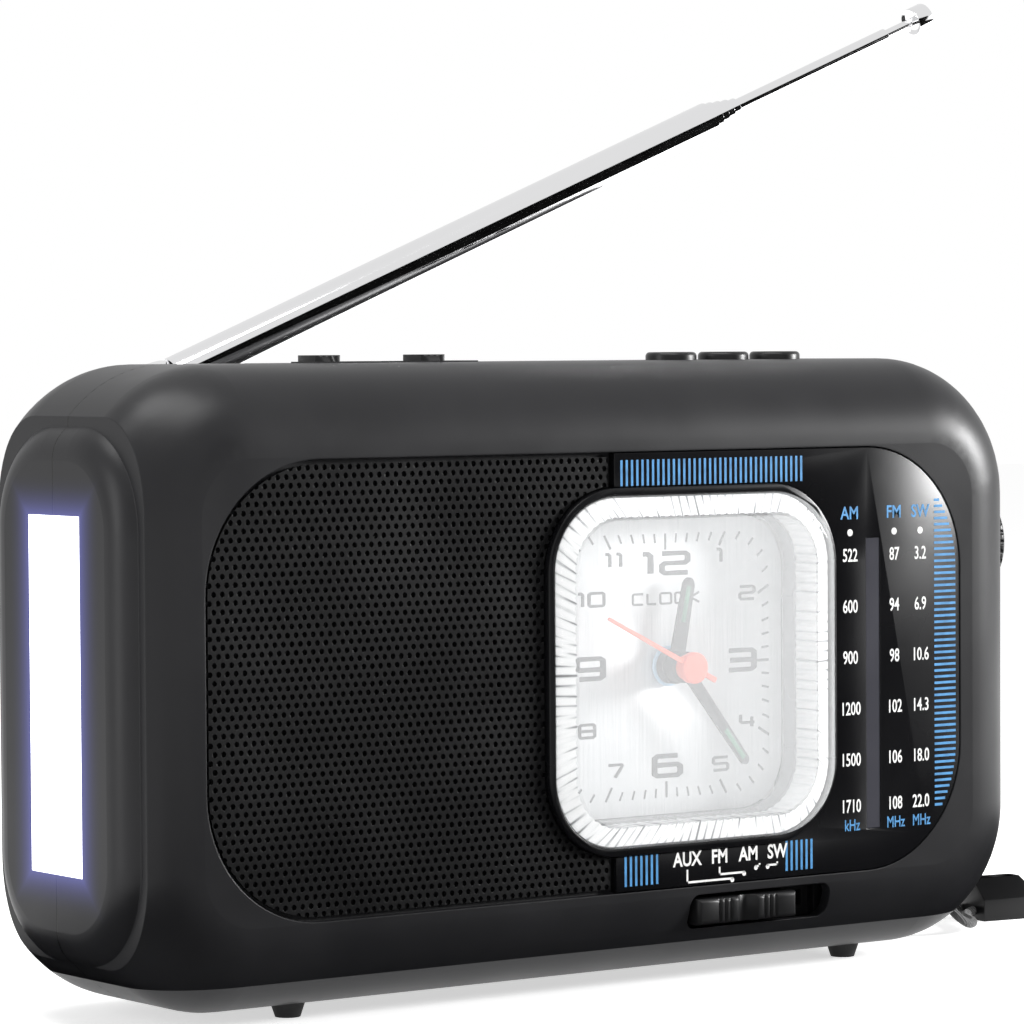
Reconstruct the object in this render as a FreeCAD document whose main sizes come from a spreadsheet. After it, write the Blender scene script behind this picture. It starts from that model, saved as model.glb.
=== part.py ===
"""Portable table radio with an analogue clock, a side lamp and a telescopic antenna.

Axes: +X to the listener's right, +Y towards the back, +Z up, millimetres.
The origin is the bottom centre of the whole object, on the plane that the feet stand on.
"""
import FreeCAD
import Part
import Sketcher
import math
import os
import re

# Driving dimensions. "x" is counted from the middle of the case, "depth" backwards from the flat front,
# and "level" up from the plane under the feet.
SIZES = {
    # case
    "case_width": 234.9, "case_height": 128.8, "case_depth": 64.0, "case_corner": 30.0, "case_edge": 18.4,
    "wall": 2.5, "foot_height": 3.0, "ledge_cut": 7.5,
    "boss_radius": 4.5, "screw_radius": 1.5, "screw_head_radius": 3.0, "screw_inset": 22.5, "screw_level": 24.0,
    "screw_seat_depth": 40.0, "screw_length": 22.0, "screw_fit": 0.2, "screw_slot_half": 2.0,
    "screw_slot_wide": 1.0, "pivot_screw_hole": 18.0, "shaft_fit": 0.2,
    "foot_radius": 4.0, "foot_tip_radius": 2.6, "foot_left_x": -67.0, "foot_right_x": 78.8,
    "foot_front_depth": 20.5, "foot_back_depth": 43.5, "foot_seat": 1.2,
    # lamp at the left end
    "lamp_rise": 3.7, "lamp_flat_half": 19.5, "lamp_round": 7.9, "lamp_height": 109.0, "lamp_corner": 22.0,
    "lamp_level": 66.4, "window_width": 20.0, "window_height": 71.2, "window_level": 66.6,
    "lens_thick": 2.0, "window_gap": 0.1, "flange_width": 2.5, "flange_thick": 1.4, "bay_width": 3.0,
    "reflector_thick": 3.6, "lamp_board_thick": 1.6, "chip_size": 3.0, "chip_pitch": 6.0, "chip_thick": 0.8,
    # front panel
    "panel_x": -1.45, "panel_width": 194.0, "panel_height": 91.5, "panel_level": 67.25, "panel_corner": 26.5,
    "panel_recess": 2.0, "panel_floor": 2.4, "panel_gap": 0.25, "panel_front": 0.1,
    "grille_gap": 1.0, "grille_front": 0.8, "grille_right_x": -0.15, "scale_left_x": 1.05,
    # speaker
    "speaker_x": -56.0, "speaker_radius": 33.0, "speaker_opening": 30.0, "speaker_deep": 17.0,
    "magnet_radius": 20.0, "magnet_thick": 11.0, "sheet_metal": 0.8,
    # clock
    "clock_x": 21.85, "clock_level": 67.4, "lens_size": 73.0, "lens_corner": 15.5, "lens_bevel": 3.3,
    "lens_rise": 4.0, "lens_wall": 2.2, "lens_side": 5.0, "bezel_band": 1.7, "bezel_corner": 17.5,
    "bezel_rise": 0.6, "dial_margin": 0.5, "dial_corner": 12.0, "dial_depth": 10.0, "dial_thick": 0.8,
    "movement_margin": 2.0, "movement_thick": 15.0, "alarm_disc_radius": 4.3,
    "hour_length": 19.0, "hour_width": 4.4, "hour_depth": 7.0, "minute_length": 27.0, "minute_width": 3.4,
    "minute_depth": 4.0, "second_length": 25.0, "second_tail": 6.5, "second_depth": 0.6, "hand_thick": 0.6,
    "hour_angle": 11.8, "minute_angle": 141.7, "second_angle": 296.7, "second_arbor": 0.7, "pipe_wall": 0.65,
    "running_gap": 0.05, "set_knob_radius": 5.5, "set_knob_spread": 10.0, "set_knob_level": 86.0,
    "set_recess_depth": 6.0, "set_knob_thick": 4.6, "set_recess_gap": 2.0, "knob_well_half": 10.0,
    # tuning scale
    "slot_x": 70.75, "slot_width": 4.0, "slot_height": 62.8, "slot_level": 61.9, "pointer_level": 42.1,
    "pointer_height": 2.2, "rail_radius": 1.0, "rail_depth": 8.0, "rail_extra": 4.0, "slider_half": 3.0,
    "slider_reach": 2.5, "needle_gap": 0.3, "drum_across": 20.0, "drum_drop": 22.0, "can_half": 10.0,
    "drum_shaft": 2.0, "knob_groove": 0.8, "knob_dish": 0.8, "tuning_shaft_length": 23.0,
    "volume_shaft_length": 15.0, "bearing_half": 6.0, "bearing_far": 24.0, "bearing_near": 16.0, "pot_half": 8.0,
    "pot_far": 17.0, "pot_near": 7.0, "foot_thick": 2.5,
    "side_knob_gap": 0.3, "tuning_radius": 13.0, "tuning_level": 90.0, "volume_radius": 11.0,
    "volume_level": 50.0, "side_knob_thick": 8.5, "shaft_radius": 3.0, "drum_radius": 17.2, "drum_depth": 20.0,
    # band switch
    "band_x": 39.55, "band_level": 16.0, "band_slot_width": 38.0, "band_slot_height": 7.4,
    "band_knob_width": 26.5, "band_knob_height": 5.5, "band_rest_gap": 1.5, "band_front": -0.8,
    "band_knob_thick": 8.0, "band_waist": 3.2, "band_groove": 0.6, "band_can_half": 19.0, "band_can_front": 8.6,
    "band_can_back": 15.0, "band_can_high": 4.0, "band_pad_half": 2.2, "band_blade": 1.5,
    # top controls
    "top_depth": 25.0, "rim_rise": 0.3, "rim_width": 18.4, "rim_across": 8.6, "switch_slot": 16.8,
    "switch_across": 7.0, "nub_width": 6.1, "nub_across": 6.4, "nub_rise": 1.6,
    "lamp_switch_x": -50.0, "lamp_nub_x": -55.2, "mode_switch_x": -27.8, "mode_nub_x": -29.3,
    "button_x": 49.6, "button_pitch": 14.3, "button_radius": 5.5, "button_rise": 1.0, "button_dome": 0.7,
    "button_gap": 0.2, "button_flange": 1.0, "button_stem": 1.6, "key_half": 3.0, "key_plate_thick": 1.6,
    "key_drop": 5.3, "key_plate_drop": 12.0, "switch_can_half": 11.0, "switch_can_deep": 5.0,
    "switch_can_drop": 9.0, "switch_can_top": 2.0, "carrier_margin": 1.0, "post_half": 1.5,
    # battery compartment and rear sockets
    "cell_radius": 7.25, "cell_length": 50.5, "cell_pitch": 16.0, "cell_level": 43.5, "cell_depth": 53.0,
    "tray_width": 114.0, "tray_height": 35.0, "tray_front": 44.5, "tray_wall": 1.6, "door_thick": 2.0,
    "cell_shoulder": 1.4, "cell_nub": 2.7, "spring_radius": 4.0, "spring_end": 6.0, "spring_plate_half": 7.0,
    "contact_half": 6.0, "contact_gap": 0.05, "plate_thick": 0.5, "door_tab_half": 5.0, "door_tab_thick": 1.2,
    "door_gap": 0.3, "door_lip": 3.0, "socket_x": 86.0, "phone_level": 42.0, "power_level": 58.0,
    "phone_bore": 1.8, "phone_deep": 13.0, "power_bore": 2.8, "power_deep": 9.0, "socket_radius": 4.2,
    "socket_inset": 0.2, "socket_barrel": 15.0, "socket_flange": 1.5, "power_pin": 0.65,
    # main board and ferrite aerial
    "board_left_x": 50.0, "board_right_x": 88.0, "board_low": 26.0, "board_high": 117.0, "board_depth": 30.0,
    "board_thick": 1.6, "ferrite_radius": 5.0, "ferrite_length": 100.0, "ferrite_x": -12.0, "coil_thick": 1.5,
    # telescopic antenna
    "pivot_x": -84.65, "pivot_level": 123.5, "antenna_depth": 57.0, "antenna_rise": 21.74,
    "tube_radius": 4.0, "tube_step": 0.5, "tube_gap": 0.05, "tube_reach": 167.3, "tube_length": 148.0,
    "nested_step": 2.2, "thin_reach": 47.6, "rod_reach": 8.4, "cap_radius": 3.15, "cap_length": 4.6,
    "elbow_reach": 10.5, "tongue_thick": 3.0, "ear_thick": 2.4, "pin_radius": 1.2, "channel_floor": 118.4,
    "channel_wall_depth": 52.0, "channel_left_x": -95.0,
    # wrist strap
    "eye_x": 117.5, "eye_level": 21.0, "eye_depth": 46.0, "eye_radius": 5.5, "eye_hole": 2.6, "eye_thick": 3.0,
    "cord_radius": 1.0, "tab_x": 143.5, "tab_depth": 52.0, "tab_length": 18.0, "tab_width": 14.0,
    "tab_thick": 9.6, "tab_slope": 4.6, "tab_turn": -8.0,
}

# Places that follow from the sizes.
PLACES = {
    "case_left": "-case_width / 2",
    "case_right": "case_width / 2",
    "case_bottom": "foot_height",
    "case_top": "foot_height + case_height",
    "parting": "case_depth / 2",
    "ledge_x": "-case_width / 2 + ledge_cut",
    "lamp_face_x": "ledge_x - lamp_rise",
    "flange_x": "lamp_face_x + lens_thick",
    "reflector_x": "flange_x + flange_thick",
    "lamp_board_x": "reflector_x + reflector_thick",
    "window_low": "window_level - window_height / 2",
    "window_high": "window_level + window_height / 2",
    "window_near": "parting - window_width / 2",
    "window_far": "parting + window_width / 2",
    "cap_reach": "tube_reach + 4 * nested_step + thin_reach + rod_reach",
    "tip_x": "pivot_x + (cap_reach + cap_length) * cos(antenna_rise * 1deg) + cap_radius * sin(antenna_rise * 1deg)",
    "case_x": "-(lamp_face_x + tip_x) / 2",
    "case_y": "-(case_depth - lens_rise) / 2",
    "screw_x": "case_width / 2 - screw_inset",
    "screw_high_level": "case_top - 21.8",
    "lens_front_size": "lens_size - 2 * lens_bevel",
    "lens_inside": "lens_size - 2 * lens_side",
    "bezel_size": "lens_size + 2 * bezel_band",
    "dial_size": "lens_inside + 2 * dial_margin",
    "movement_size": "dial_size - 2 * movement_margin",
    "dial_back": "dial_depth + dial_thick",
    "movement_back": "dial_back + movement_thick",
    "minute_pipe": "second_arbor + running_gap + pipe_wall",
    "hour_pipe": "minute_pipe + running_gap + pipe_wall",
    "alarm_pipe": "hour_pipe + running_gap + pipe_wall",
    "wall_inside_right": "case_right - wall",
    "tray_left": "-tray_width / 2",
    "tray_low": "cell_level - tray_height / 2",
    "tray_high": "cell_level + tray_height / 2",
    "inner_top": "case_top - wall",
    "drum_x": "board_left_x + drum_across",
    "drum_level": "board_high - drum_drop",
    "ferrite_level": "channel_floor - wall - 0.3 - ferrite_radius - coil_thick",
    "pivot_back": "antenna_depth + tube_radius",
    "knuckle_front": "channel_wall_depth + 0.1",
}

DOC = FreeCAD.newDocument("TableRadio")
SUBPARTS = []


def vector(x, y, z):
    """A point or direction."""
    return FreeCAD.Vector(x, y, z)


# The way each face of the radio is looked at: local x to the right, local y up, local z to the viewer.
FRONT = FreeCAD.Rotation(vector(1, 0, 0), vector(0, 0, 1), vector(0, -1, 0), "XYZ")
BACK = FreeCAD.Rotation(vector(-1, 0, 0), vector(0, 0, 1), vector(0, 1, 0), "XYZ")
LEFT = FreeCAD.Rotation(vector(0, -1, 0), vector(0, 0, 1), vector(-1, 0, 0), "XYZ")
RIGHT = FreeCAD.Rotation(vector(0, 1, 0), vector(0, 0, 1), vector(1, 0, 0), "XYZ")
TOP = FreeCAD.Rotation()


def linked(text):
    """An expression with each size and place written as its sheet's cell."""
    def cell(match):
        word = match.group(0)
        if word in SIZES:
            return "Sizes." + word
        return "Places." + word if word in PLACES else word
    return re.sub(r"[a-z_]+(?![a-z_(])", cell, text)


def fill_sheets():
    """The sheet of driving sizes, and the sheet of the places that follow from them."""
    sizes = DOC.addObject("Spreadsheet::Sheet", "Sizes")
    for row, (name, number) in enumerate(SIZES.items(), 1):
        sizes.set(f"A{row}", name)
        sizes.set(f"B{row}", str(number))
        sizes.setAlias(f"B{row}", name)
    places = DOC.addObject("Spreadsheet::Sheet", "Places")
    for row, (name, text) in enumerate(PLACES.items(), 1):
        places.set(f"A{row}", name)
        places.set(f"B{row}", "=" + linked(text))
        places.setAlias(f"B{row}", name)
        DOC.recompute()
    return sizes, places


SIZE_SHEET, PLACE_SHEET = fill_sheets()


def value(name):
    """The number in a cell."""
    return float((SIZE_SHEET if name in SIZES else PLACE_SHEET).get(name))


def bind(item, **properties):
    """Tie properties to sizes; x, y and z stand for the base of the placement."""
    for name, text in properties.items():
        path = "Placement.Base." + name if name in ("x", "y", "z") else name
        item.setExpression(path, linked(text))


def keep(item, label):
    """Name a finished sub-part."""
    item.Label = label
    SUBPARTS.append(item)
    return item


# ---- PartDesign bodies -------------------------------------------------------------------------------------

def new_body(name, view=FRONT, across="0", depth="0", level="0"):
    """A body seen from one face of the radio, with its own zero at a place counted on the case."""
    body = DOC.addObject("PartDesign::Body", name)
    body.Placement = FreeCAD.Placement(vector(0, 0, 0), view)
    bind(body, x=f"case_x + {across}", y=f"case_y + {depth}", z=level)
    return body


def new_sketch(body, height, plane="XY_Plane"):
    """An empty sketch on one of the body's own planes."""
    sketch = body.newObject("Sketcher::SketchObject", body.Name + "_sketch")
    support = [item for item in body.Origin.OriginFeatures if item.Role == plane][0]
    sketch.AttachmentSupport = [(support, "")]
    sketch.MapMode = "FlatFace"
    sketch.setExpression(".AttachmentOffset.Base.z", linked(height))
    return sketch


def fix_point(sketch, curve, point, place):
    """Hold one point of a sketch curve at (x, y) from the sketch's zero."""
    for kind, text in zip(("DistanceX", "DistanceY"), place):
        number = sketch.addConstraint(Sketcher.Constraint(kind, -1, 1, curve, point, 1.0))
        sketch.setExpression(f"Constraints[{number}]", linked(text))


def outline(body, corners, height="0", plane="XY_Plane"):
    """A closed outline of straight runs."""
    sketch = new_sketch(body, height, plane)
    count = len(corners)
    turns = [2 * math.pi * number / count + 0.3 for number in range(count)]
    start = [vector(math.cos(turn), math.sin(turn), 0) for turn in turns]
    for number in range(count):
        sketch.addGeometry(Part.LineSegment(start[number], start[(number + 1) % count]), False)
    for number in range(count):
        sketch.addConstraint(Sketcher.Constraint("Coincident", number, 2, (number + 1) % count, 1))
    for number, corner in enumerate(corners):
        fix_point(sketch, number, 1, corner)
    return sketch


def rectangle(body, x_low, x_high, y_low, y_high, height="0", plane="XY_Plane"):
    """A rectangular outline."""
    corners = [(x_low, y_low), (x_high, y_low), (x_high, y_high), (x_low, y_high)]
    return outline(body, corners, height, plane)


def square(body, size, height="0"):
    """A square about the body's own zero."""
    return rectangle(body, f"-({size}) / 2", f"({size}) / 2", f"-({size}) / 2", f"({size}) / 2", height)


def circles(body, rings, height="0"):
    """Round outlines, each (x, y, radius)."""
    sketch = new_sketch(body, height)
    for number, (x, y, radius) in enumerate(rings):
        sketch.addGeometry(Part.Circle(vector(number, 0, 0), vector(0, 0, 1), 1), False)
        fix_point(sketch, number, 3, (x, y))
        held = sketch.addConstraint(Sketcher.Constraint("Radius", number, 1.0))
        sketch.setExpression(f"Constraints[{held}]", linked(radius))
    return sketch


def pad(body, sketch, length, downwards=False):
    """Grow a sketch into a solid."""
    feature = body.newObject("PartDesign::Pad", "Pad")
    feature.Profile = sketch
    feature.Reversed = downwards
    bind(feature, Length=length)
    DOC.recompute()
    return feature


def pocket(body, sketch, length, upwards=False):
    """Cut a sketch into the solid, downwards unless told; the volume has to fall."""
    before = body.Shape.Volume
    feature = body.newObject("PartDesign::Pocket", "Pocket")
    feature.Profile = sketch
    feature.Reversed = upwards
    bind(feature, Length=length)
    DOC.recompute()
    if body.Shape.Volume >= before:
        raise ValueError(f"a pocket of {body.Name} cuts nothing")
    return feature


def revolve(body, sketch, groove=False):
    """Turn a sketch on the XZ plane about the body's z axis."""
    feature = body.newObject("PartDesign::Groove" if groove else "PartDesign::Revolution", "Turned")
    feature.Profile = sketch
    feature.ReferenceAxis = (sketch, ["V_Axis"])
    feature.Angle = 360
    DOC.recompute()
    return feature


def soften(body, feature, test, radius, kind="Fillet"):
    """Round or bevel the edges that a test picks."""
    names = [f"Edge{number}" for number, edge in enumerate(feature.Shape.Edges, 1) if test(edge)]
    if not names:
        raise ValueError(f"no edge to soften on {body.Name}")
    softened = body.newObject("PartDesign::" + kind, kind)
    softened.Base = (feature, names)
    bind(softened, **{"Radius" if kind == "Fillet" else "Size": radius})
    DOC.recompute()
    return softened


def upright(edge):
    """True for a straight edge along the body's z axis."""
    ends = edge.BoundBox
    return ends.ZLength > 1e-3 and ends.XLength < 1e-3 and ends.YLength < 1e-3


def flat_at(height):
    """A test for the edges that lie at one height."""
    return lambda edge: abs(edge.BoundBox.ZMin - height) < 1e-3 and abs(edge.BoundBox.ZMax - height) < 1e-3


def repeat_round(body, feature, count):
    """Repeat a feature evenly about the body's z axis."""
    pattern = body.newObject("PartDesign::PolarPattern", "Round")
    pattern.Originals = [feature]
    pattern.Axis = (feature.Profile[0], ["N_Axis"])
    pattern.Angle = 360
    pattern.Occurrences = count
    body.Tip = pattern
    DOC.recompute()
    return pattern


# ---- Part primitives and booleans --------------------------------------------------------------------------

def block(name, x_low, x_high, depth_low, depth_high, low, high):
    """A box between two sides, two depths and two levels of the case."""
    box = DOC.addObject("Part::Box", name)
    bind(box, Length=f"({x_high}) - ({x_low})", Width=f"({depth_high}) - ({depth_low})",
         Height=f"({high}) - ({low})", x=f"case_x + {x_low}", y=f"case_y + {depth_low}", z=low)
    return box


def round_bar(name, view, across, depth, level, radius, length, tip_radius=None):
    """A cylinder or cone that starts at a place of the case and grows towards a face's viewer."""
    kind = "Part::Cylinder" if tip_radius is None else "Part::Cone"
    bar = DOC.addObject(kind, name)
    bar.Placement = FreeCAD.Placement(vector(0, 0, 0), view)
    bind(bar, x=f"case_x + {across}", y=f"case_y + {depth}", z=level, Height=length)
    if tip_radius is None:
        bind(bar, Radius=radius)
    else:
        bind(bar, Radius1=radius, Radius2=tip_radius)
    return bar


def joined(name, items):
    """Several solids as one object."""
    if len(items) == 1:
        return items[0]
    fused = DOC.addObject("Part::MultiFuse", name)
    fused.Shapes = items
    DOC.recompute()
    return fused


def less(name, base, tools):
    """A solid with tools cut out of it."""
    cut = DOC.addObject("Part::Cut", name)
    cut.Base = base
    cut.Tool = joined(name + "_tools", tools)
    DOC.recompute()
    return cut


def shared(name, items):
    """What solids have in common."""
    common = DOC.addObject("Part::MultiCommon", name)
    common.Shapes = items
    DOC.recompute()
    return common


# ---- Case --------------------------------------------------------------------------------------------------

def case_form(name, inset):
    """The rounded case, or its inside when inset by the wall, with the left end cut flat."""
    body = new_body(name)
    side = f"case_width / 2 - {inset}"
    sketch = rectangle(body, f"-({side})", side, f"case_bottom + {inset}", f"case_top - {inset}", f"-{inset}")
    feature = pad(body, sketch, f"case_depth - 2 * {inset}", downwards=True)
    feature = soften(body, feature, upright, f"case_corner - {inset}")
    margin = value("wall") if inset == "wall" else 0.0
    levels = (-margin, margin - value("case_depth"))
    ends = [flat_at(level) for level in levels]
    soften(body, feature, lambda edge: ends[0](edge) or ends[1](edge), f"case_edge - {inset}")
    trim = rectangle(body, "2 * case_left", f"ledge_x + {inset}", "0", "2 * case_top", "1")
    pocket(body, trim, "case_depth + 2")
    return body


def lamp_pad_form():
    """The raised pad of the lamp, whose foot is sunk in the left end."""
    body = new_body("lamp_pad_form", LEFT, "lamp_face_x", "parting", "lamp_level")
    half = "lamp_flat_half + lamp_round"
    sketch = rectangle(body, f"-({half})", half, "-lamp_height / 2", "lamp_height / 2")
    feature = pad(body, sketch, "lamp_round + lamp_rise", downwards=True)
    feature = soften(body, feature, upright, "lamp_corner")
    soften(body, feature, flat_at(0), "lamp_round")
    return body


def plate_form(name, inset, front, back):
    """A plate with the front panel's outline."""
    body = new_body(name, FRONT, "panel_x", front, "panel_level")
    wide = f"panel_width / 2 - {inset}"
    tall = f"panel_height / 2 - {inset}"
    feature = pad(body, rectangle(body, f"-({wide})", wide, f"-({tall})", tall), f"({back}) - ({front})", True)
    soften(body, feature, upright, f"panel_corner - {inset}")
    return body


def clock_form(name, size, corner, front, back):
    """A square with round corners about the clock's axis."""
    body = new_body(name, FRONT, "clock_x", front, "clock_level")
    feature = pad(body, square(body, size), f"({back}) - ({front})", True)
    soften(body, feature, upright, corner)
    return body


def half_space(name, front):
    """A block that holds the front or the rear half of the case."""
    depths = ("-case_depth", "parting") if front else ("parting", "2 * case_depth")
    return block(name, "2 * case_left", "2 * case_right", *depths, "-case_height", "2 * case_top")


def screw_places():
    """The four (x, level) of the case screws."""
    return [(x, level) for x in ("-screw_x", "screw_x") for level in ("screw_level", "screw_high_level")]


def foot_places(front):
    """The (x, depth) of the front or rear feet."""
    depth = "foot_front_depth" if front else "foot_back_depth"
    return [("foot_left_x", depth), ("foot_right_x", depth)]


def foot_seats(name, front):
    """The shallow seats of the feet in a shell."""
    return [round_bar(f"{name}_{number}", TOP, x, depth, "0", "foot_radius", "case_bottom + foot_seat")
            for number, (x, depth) in enumerate(foot_places(front))]


def side_holes(name):
    """The two shaft holes in the right end, on the parting line."""
    return [round_bar(f"{name}_{knob}", RIGHT, "case_right - 3 * wall", "parting", f"{knob}_level",
                      "shaft_radius + shaft_fit", "6 * wall") for knob in ("tuning", "volume")]


def window_frame(name, x_low, x_high, margin):
    """A block behind the lamp's window that is wider or narrower than it by a margin."""
    return block(name, x_low, x_high, f"window_near - ({margin})", f"window_far + ({margin})",
                 f"window_low - ({margin})", f"window_high + ({margin})")


def window_cut(name):
    """The lamp's window and the wider bay behind it."""
    return [window_frame(name + "_window", "lamp_face_x - 1", "ledge_x + 2 * wall", "0"),
            window_frame(name + "_bay", "flange_x", "ledge_x + 2 * wall", "bay_width")]


def switch_places():
    """The top slide switches: name, slot centre and nub centre."""
    return [("lamp_switch", "lamp_switch_x", "lamp_nub_x"), ("mode_switch", "mode_switch_x", "mode_nub_x")]


def button_places():
    """The three push buttons and their x."""
    return [("previous_button", "button_x - button_pitch"), ("play_button", "button_x"),
            ("next_button", "button_x + button_pitch")]


def top_cuts():
    """Slots and holes for the controls on the top."""
    cuts = [block(f"{name}_slot", f"{x} - switch_slot / 2", f"{x} + switch_slot / 2",
                  "top_depth - switch_across / 2", "top_depth + switch_across / 2", "case_top - 2 * wall",
                  "case_top + 2 * wall") for name, x, nub in switch_places()]
    cuts += [round_bar(f"{name}_hole", TOP, x, "top_depth", "case_top - 2 * wall", "button_radius + button_gap",
                       "4 * wall") for name, x in button_places()]
    return cuts


def front_shell():
    """Front half of the case, with the panel recess, its floor, the screw bosses and the switch rims."""
    skin = shared("front_skin", [case_form("front_form", "0"), half_space("front_half", True)])
    pad_half = shared("front_pad", [lamp_pad_form(), half_space("front_pad_half", True)])
    hollow = less("front_hollow", case_form("front_inside", "wall"),
                  [plate_form("recess_backing", "-wall", "0", "panel_recess + panel_floor")])
    holed = less("front_hollow_skin", joined("front_blank", [skin, pad_half]), [hollow])
    bosses = [round_bar(f"front_boss_{number}", FRONT, x, "parting", level, "boss_radius", "parting - wall")
              for number, (x, level) in enumerate(screw_places())]
    rims = [block(f"{name}_rim", f"{x} - rim_width / 2", f"{x} + rim_width / 2", "top_depth - rim_across / 2",
                  "top_depth + rim_across / 2", "case_top - wall / 2", "case_top + rim_rise")
            for name, x, nub in switch_places()]
    solid = joined("front_solid", [holed] + bosses + rims)
    screws = [round_bar(f"front_screw_hole_{number}", FRONT, x, "parting + 1", level, "screw_radius",
                        "screw_length - (screw_seat_depth - parting) + 3")
              for number, (x, level) in enumerate(screw_places())]
    speaker = round_bar("speaker_hole", FRONT, "speaker_x", "case_edge", "panel_level", "speaker_opening",
                        "2 * case_edge")
    dial_slot = block("dial_slot", "slot_x - slot_width / 2 - 1", "slot_x + slot_width / 2 + 1", "0", "case_edge",
                      "slot_level - slot_height / 2 - 1", "slot_level + slot_height / 2 + 1")
    band = new_body("band_slot", FRONT, "band_x", "0", "band_level")
    slot = pad(band, rectangle(band, "-band_slot_width / 2", "band_slot_width / 2", "-band_slot_height / 2",
                               "band_slot_height / 2", "lens_rise"), "case_edge", True)
    soften(band, slot, upright, "band_slot_height / 3")
    cuts = [plate_form("panel_cut", "0", "-1", "panel_recess"), speaker, dial_slot, band,
            clock_form("clock_cut", "lens_size + 0.4", "lens_corner + 0.2", "-1", "case_edge")]
    cuts += screws + top_cuts() + foot_seats("front_foot_seat", True) + window_cut("front_lamp")
    cuts += side_holes("front_side_hole")
    return keep(less("front_shell", solid, cuts), "front_shell")


def channel_space(name, margin):
    """The space along the rear top edge in which the antenna lies, open at the right and at the back."""
    return block(name, f"channel_left_x - {margin}", "case_right + wall", f"channel_wall_depth - {margin}",
                 "case_depth + wall", f"channel_floor - {margin}", "case_top + wall")


def rear_shell():
    """Rear half of the case, with the antenna channel, the battery tray, the knob recess and the strap eye."""
    skin = shared("rear_skin", [case_form("rear_form", "0"), half_space("rear_half", False)])
    pad_half = shared("rear_pad", [lamp_pad_form(), half_space("rear_pad_half", False)])
    hollow = less("rear_hollow", case_form("rear_inside", "wall"), [channel_space("channel_backing", "wall")])
    holed = less("rear_hollow_skin", joined("rear_blank", [skin, pad_half]), [hollow])
    tray = block("tray_walls", "tray_left - tray_wall", "-tray_left + tray_wall", "tray_front - tray_wall",
                 "case_depth - wall / 2", "tray_low - tray_wall", "tray_high + tray_wall")
    bosses = [round_bar(f"rear_boss_{number}", BACK, x, "parting", level, "boss_radius + 1",
                        "case_depth - parting - wall / 2") for number, (x, level) in enumerate(screw_places())]
    knob_well = block("knob_well", "clock_x - set_knob_spread - knob_well_half",
                      "clock_x + set_knob_spread + knob_well_half", "case_depth - set_recess_depth - wall",
                      "case_depth - wall / 2", "set_knob_level - knob_well_half",
                      "set_knob_level + knob_well_half")
    pivot_boss = round_bar("pivot_boss", FRONT, "pivot_x", "channel_wall_depth", "pivot_level", "boss_radius",
                           "3 * wall")
    eye = new_body("strap_eye", BACK, "eye_x", "eye_depth", "eye_level")
    pad(eye, circles(eye, [("0", "0", "eye_radius")], "-eye_thick / 2"), "eye_thick")
    solid = joined("rear_solid", [holed, tray, knob_well, pivot_boss, eye] + bosses)
    cuts = [channel_space("channel_cut", "0"),
            block("tray_cut", "tray_left", "-tray_left", "tray_front", "2 * case_depth", "tray_low", "tray_high"),
            block("door_seat", "tray_left - door_lip", "-tray_left + door_lip", "case_depth - door_thick",
                  "2 * case_depth", "tray_low - door_gap", "tray_high + door_lip"),
            round_bar("eye_hole", BACK, "eye_x", "eye_depth - eye_thick", "eye_level", "eye_hole", "2 * eye_thick"),
            round_bar("pivot_hole", FRONT, "pivot_x", "case_depth", "pivot_level", "screw_radius",
                      "pivot_screw_hole")]
    recess = new_body("knob_recess", BACK, "clock_x", "case_depth - set_recess_depth", "set_knob_level")
    tall = "set_knob_radius + set_recess_gap"
    wide = f"set_knob_spread + {tall}"
    grown = pad(recess, rectangle(recess, f"-({wide})", wide, f"-({tall})", tall), "2 * set_recess_depth")
    soften(recess, grown, upright, "set_knob_radius")
    cuts.append(recess)
    for number, (x, level) in enumerate(screw_places()):
        cuts.append(round_bar(f"rear_screw_hole_{number}", BACK, x, "parting - 1", level, "screw_radius + screw_fit",
                              "case_depth"))
        cuts.append(round_bar(f"rear_counterbore_{number}", BACK, x, "screw_seat_depth", level,
                              "screw_head_radius + 0.5", "case_depth"))
    for side in (-1, 1):
        cuts.append(round_bar(f"set_shaft_hole_{side + 1}", BACK, f"clock_x + {side} * set_knob_spread",
                              "parting + 1", "set_knob_level", "screw_radius + 0.15", "case_depth"))
    for name in ("phone", "power"):
        cuts.append(round_bar(f"{name}_hole", BACK, "socket_x", "parting + 1", f"{name}_level",
                              "socket_radius", "case_depth"))
    cuts += foot_seats("rear_foot_seat", False) + window_cut("rear_lamp") + side_holes("rear_side_hole")
    return keep(less("rear_shell", solid, cuts), "rear_shell")


def battery_door():
    """Door over the cells, with two tabs under its lower edge and a finger notch at the top."""
    plate = block("door_plate", "tray_left - door_lip + door_gap", "-tray_left + door_lip - door_gap",
                  "case_depth - door_thick", "case_depth", "tray_low", "tray_high + door_lip - door_gap")
    inner = "case_depth - wall - door_gap - door_tab_thick"
    tabs = []
    for number, x in enumerate(("tray_left / 2", "-tray_left / 2")):
        sides = (f"{x} - door_tab_half", f"{x} + door_tab_half")
        tabs.append(block(f"door_tab_{number}", *sides, inner, "case_depth - wall - door_gap", "tray_low",
                          "tray_low + 2 * door_lip"))
        tabs.append(block(f"door_bridge_{number}", *sides, inner, "case_depth - door_thick / 2",
                          "tray_low + door_thick", "tray_low + 2 * door_lip"))
    notch = round_bar("door_notch", BACK, "0", "case_depth - 1", "tray_high - 2", "7", "2")
    keep(less("battery_door", joined("door_solid", [plate] + tabs), [notch]), "battery_door")


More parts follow.
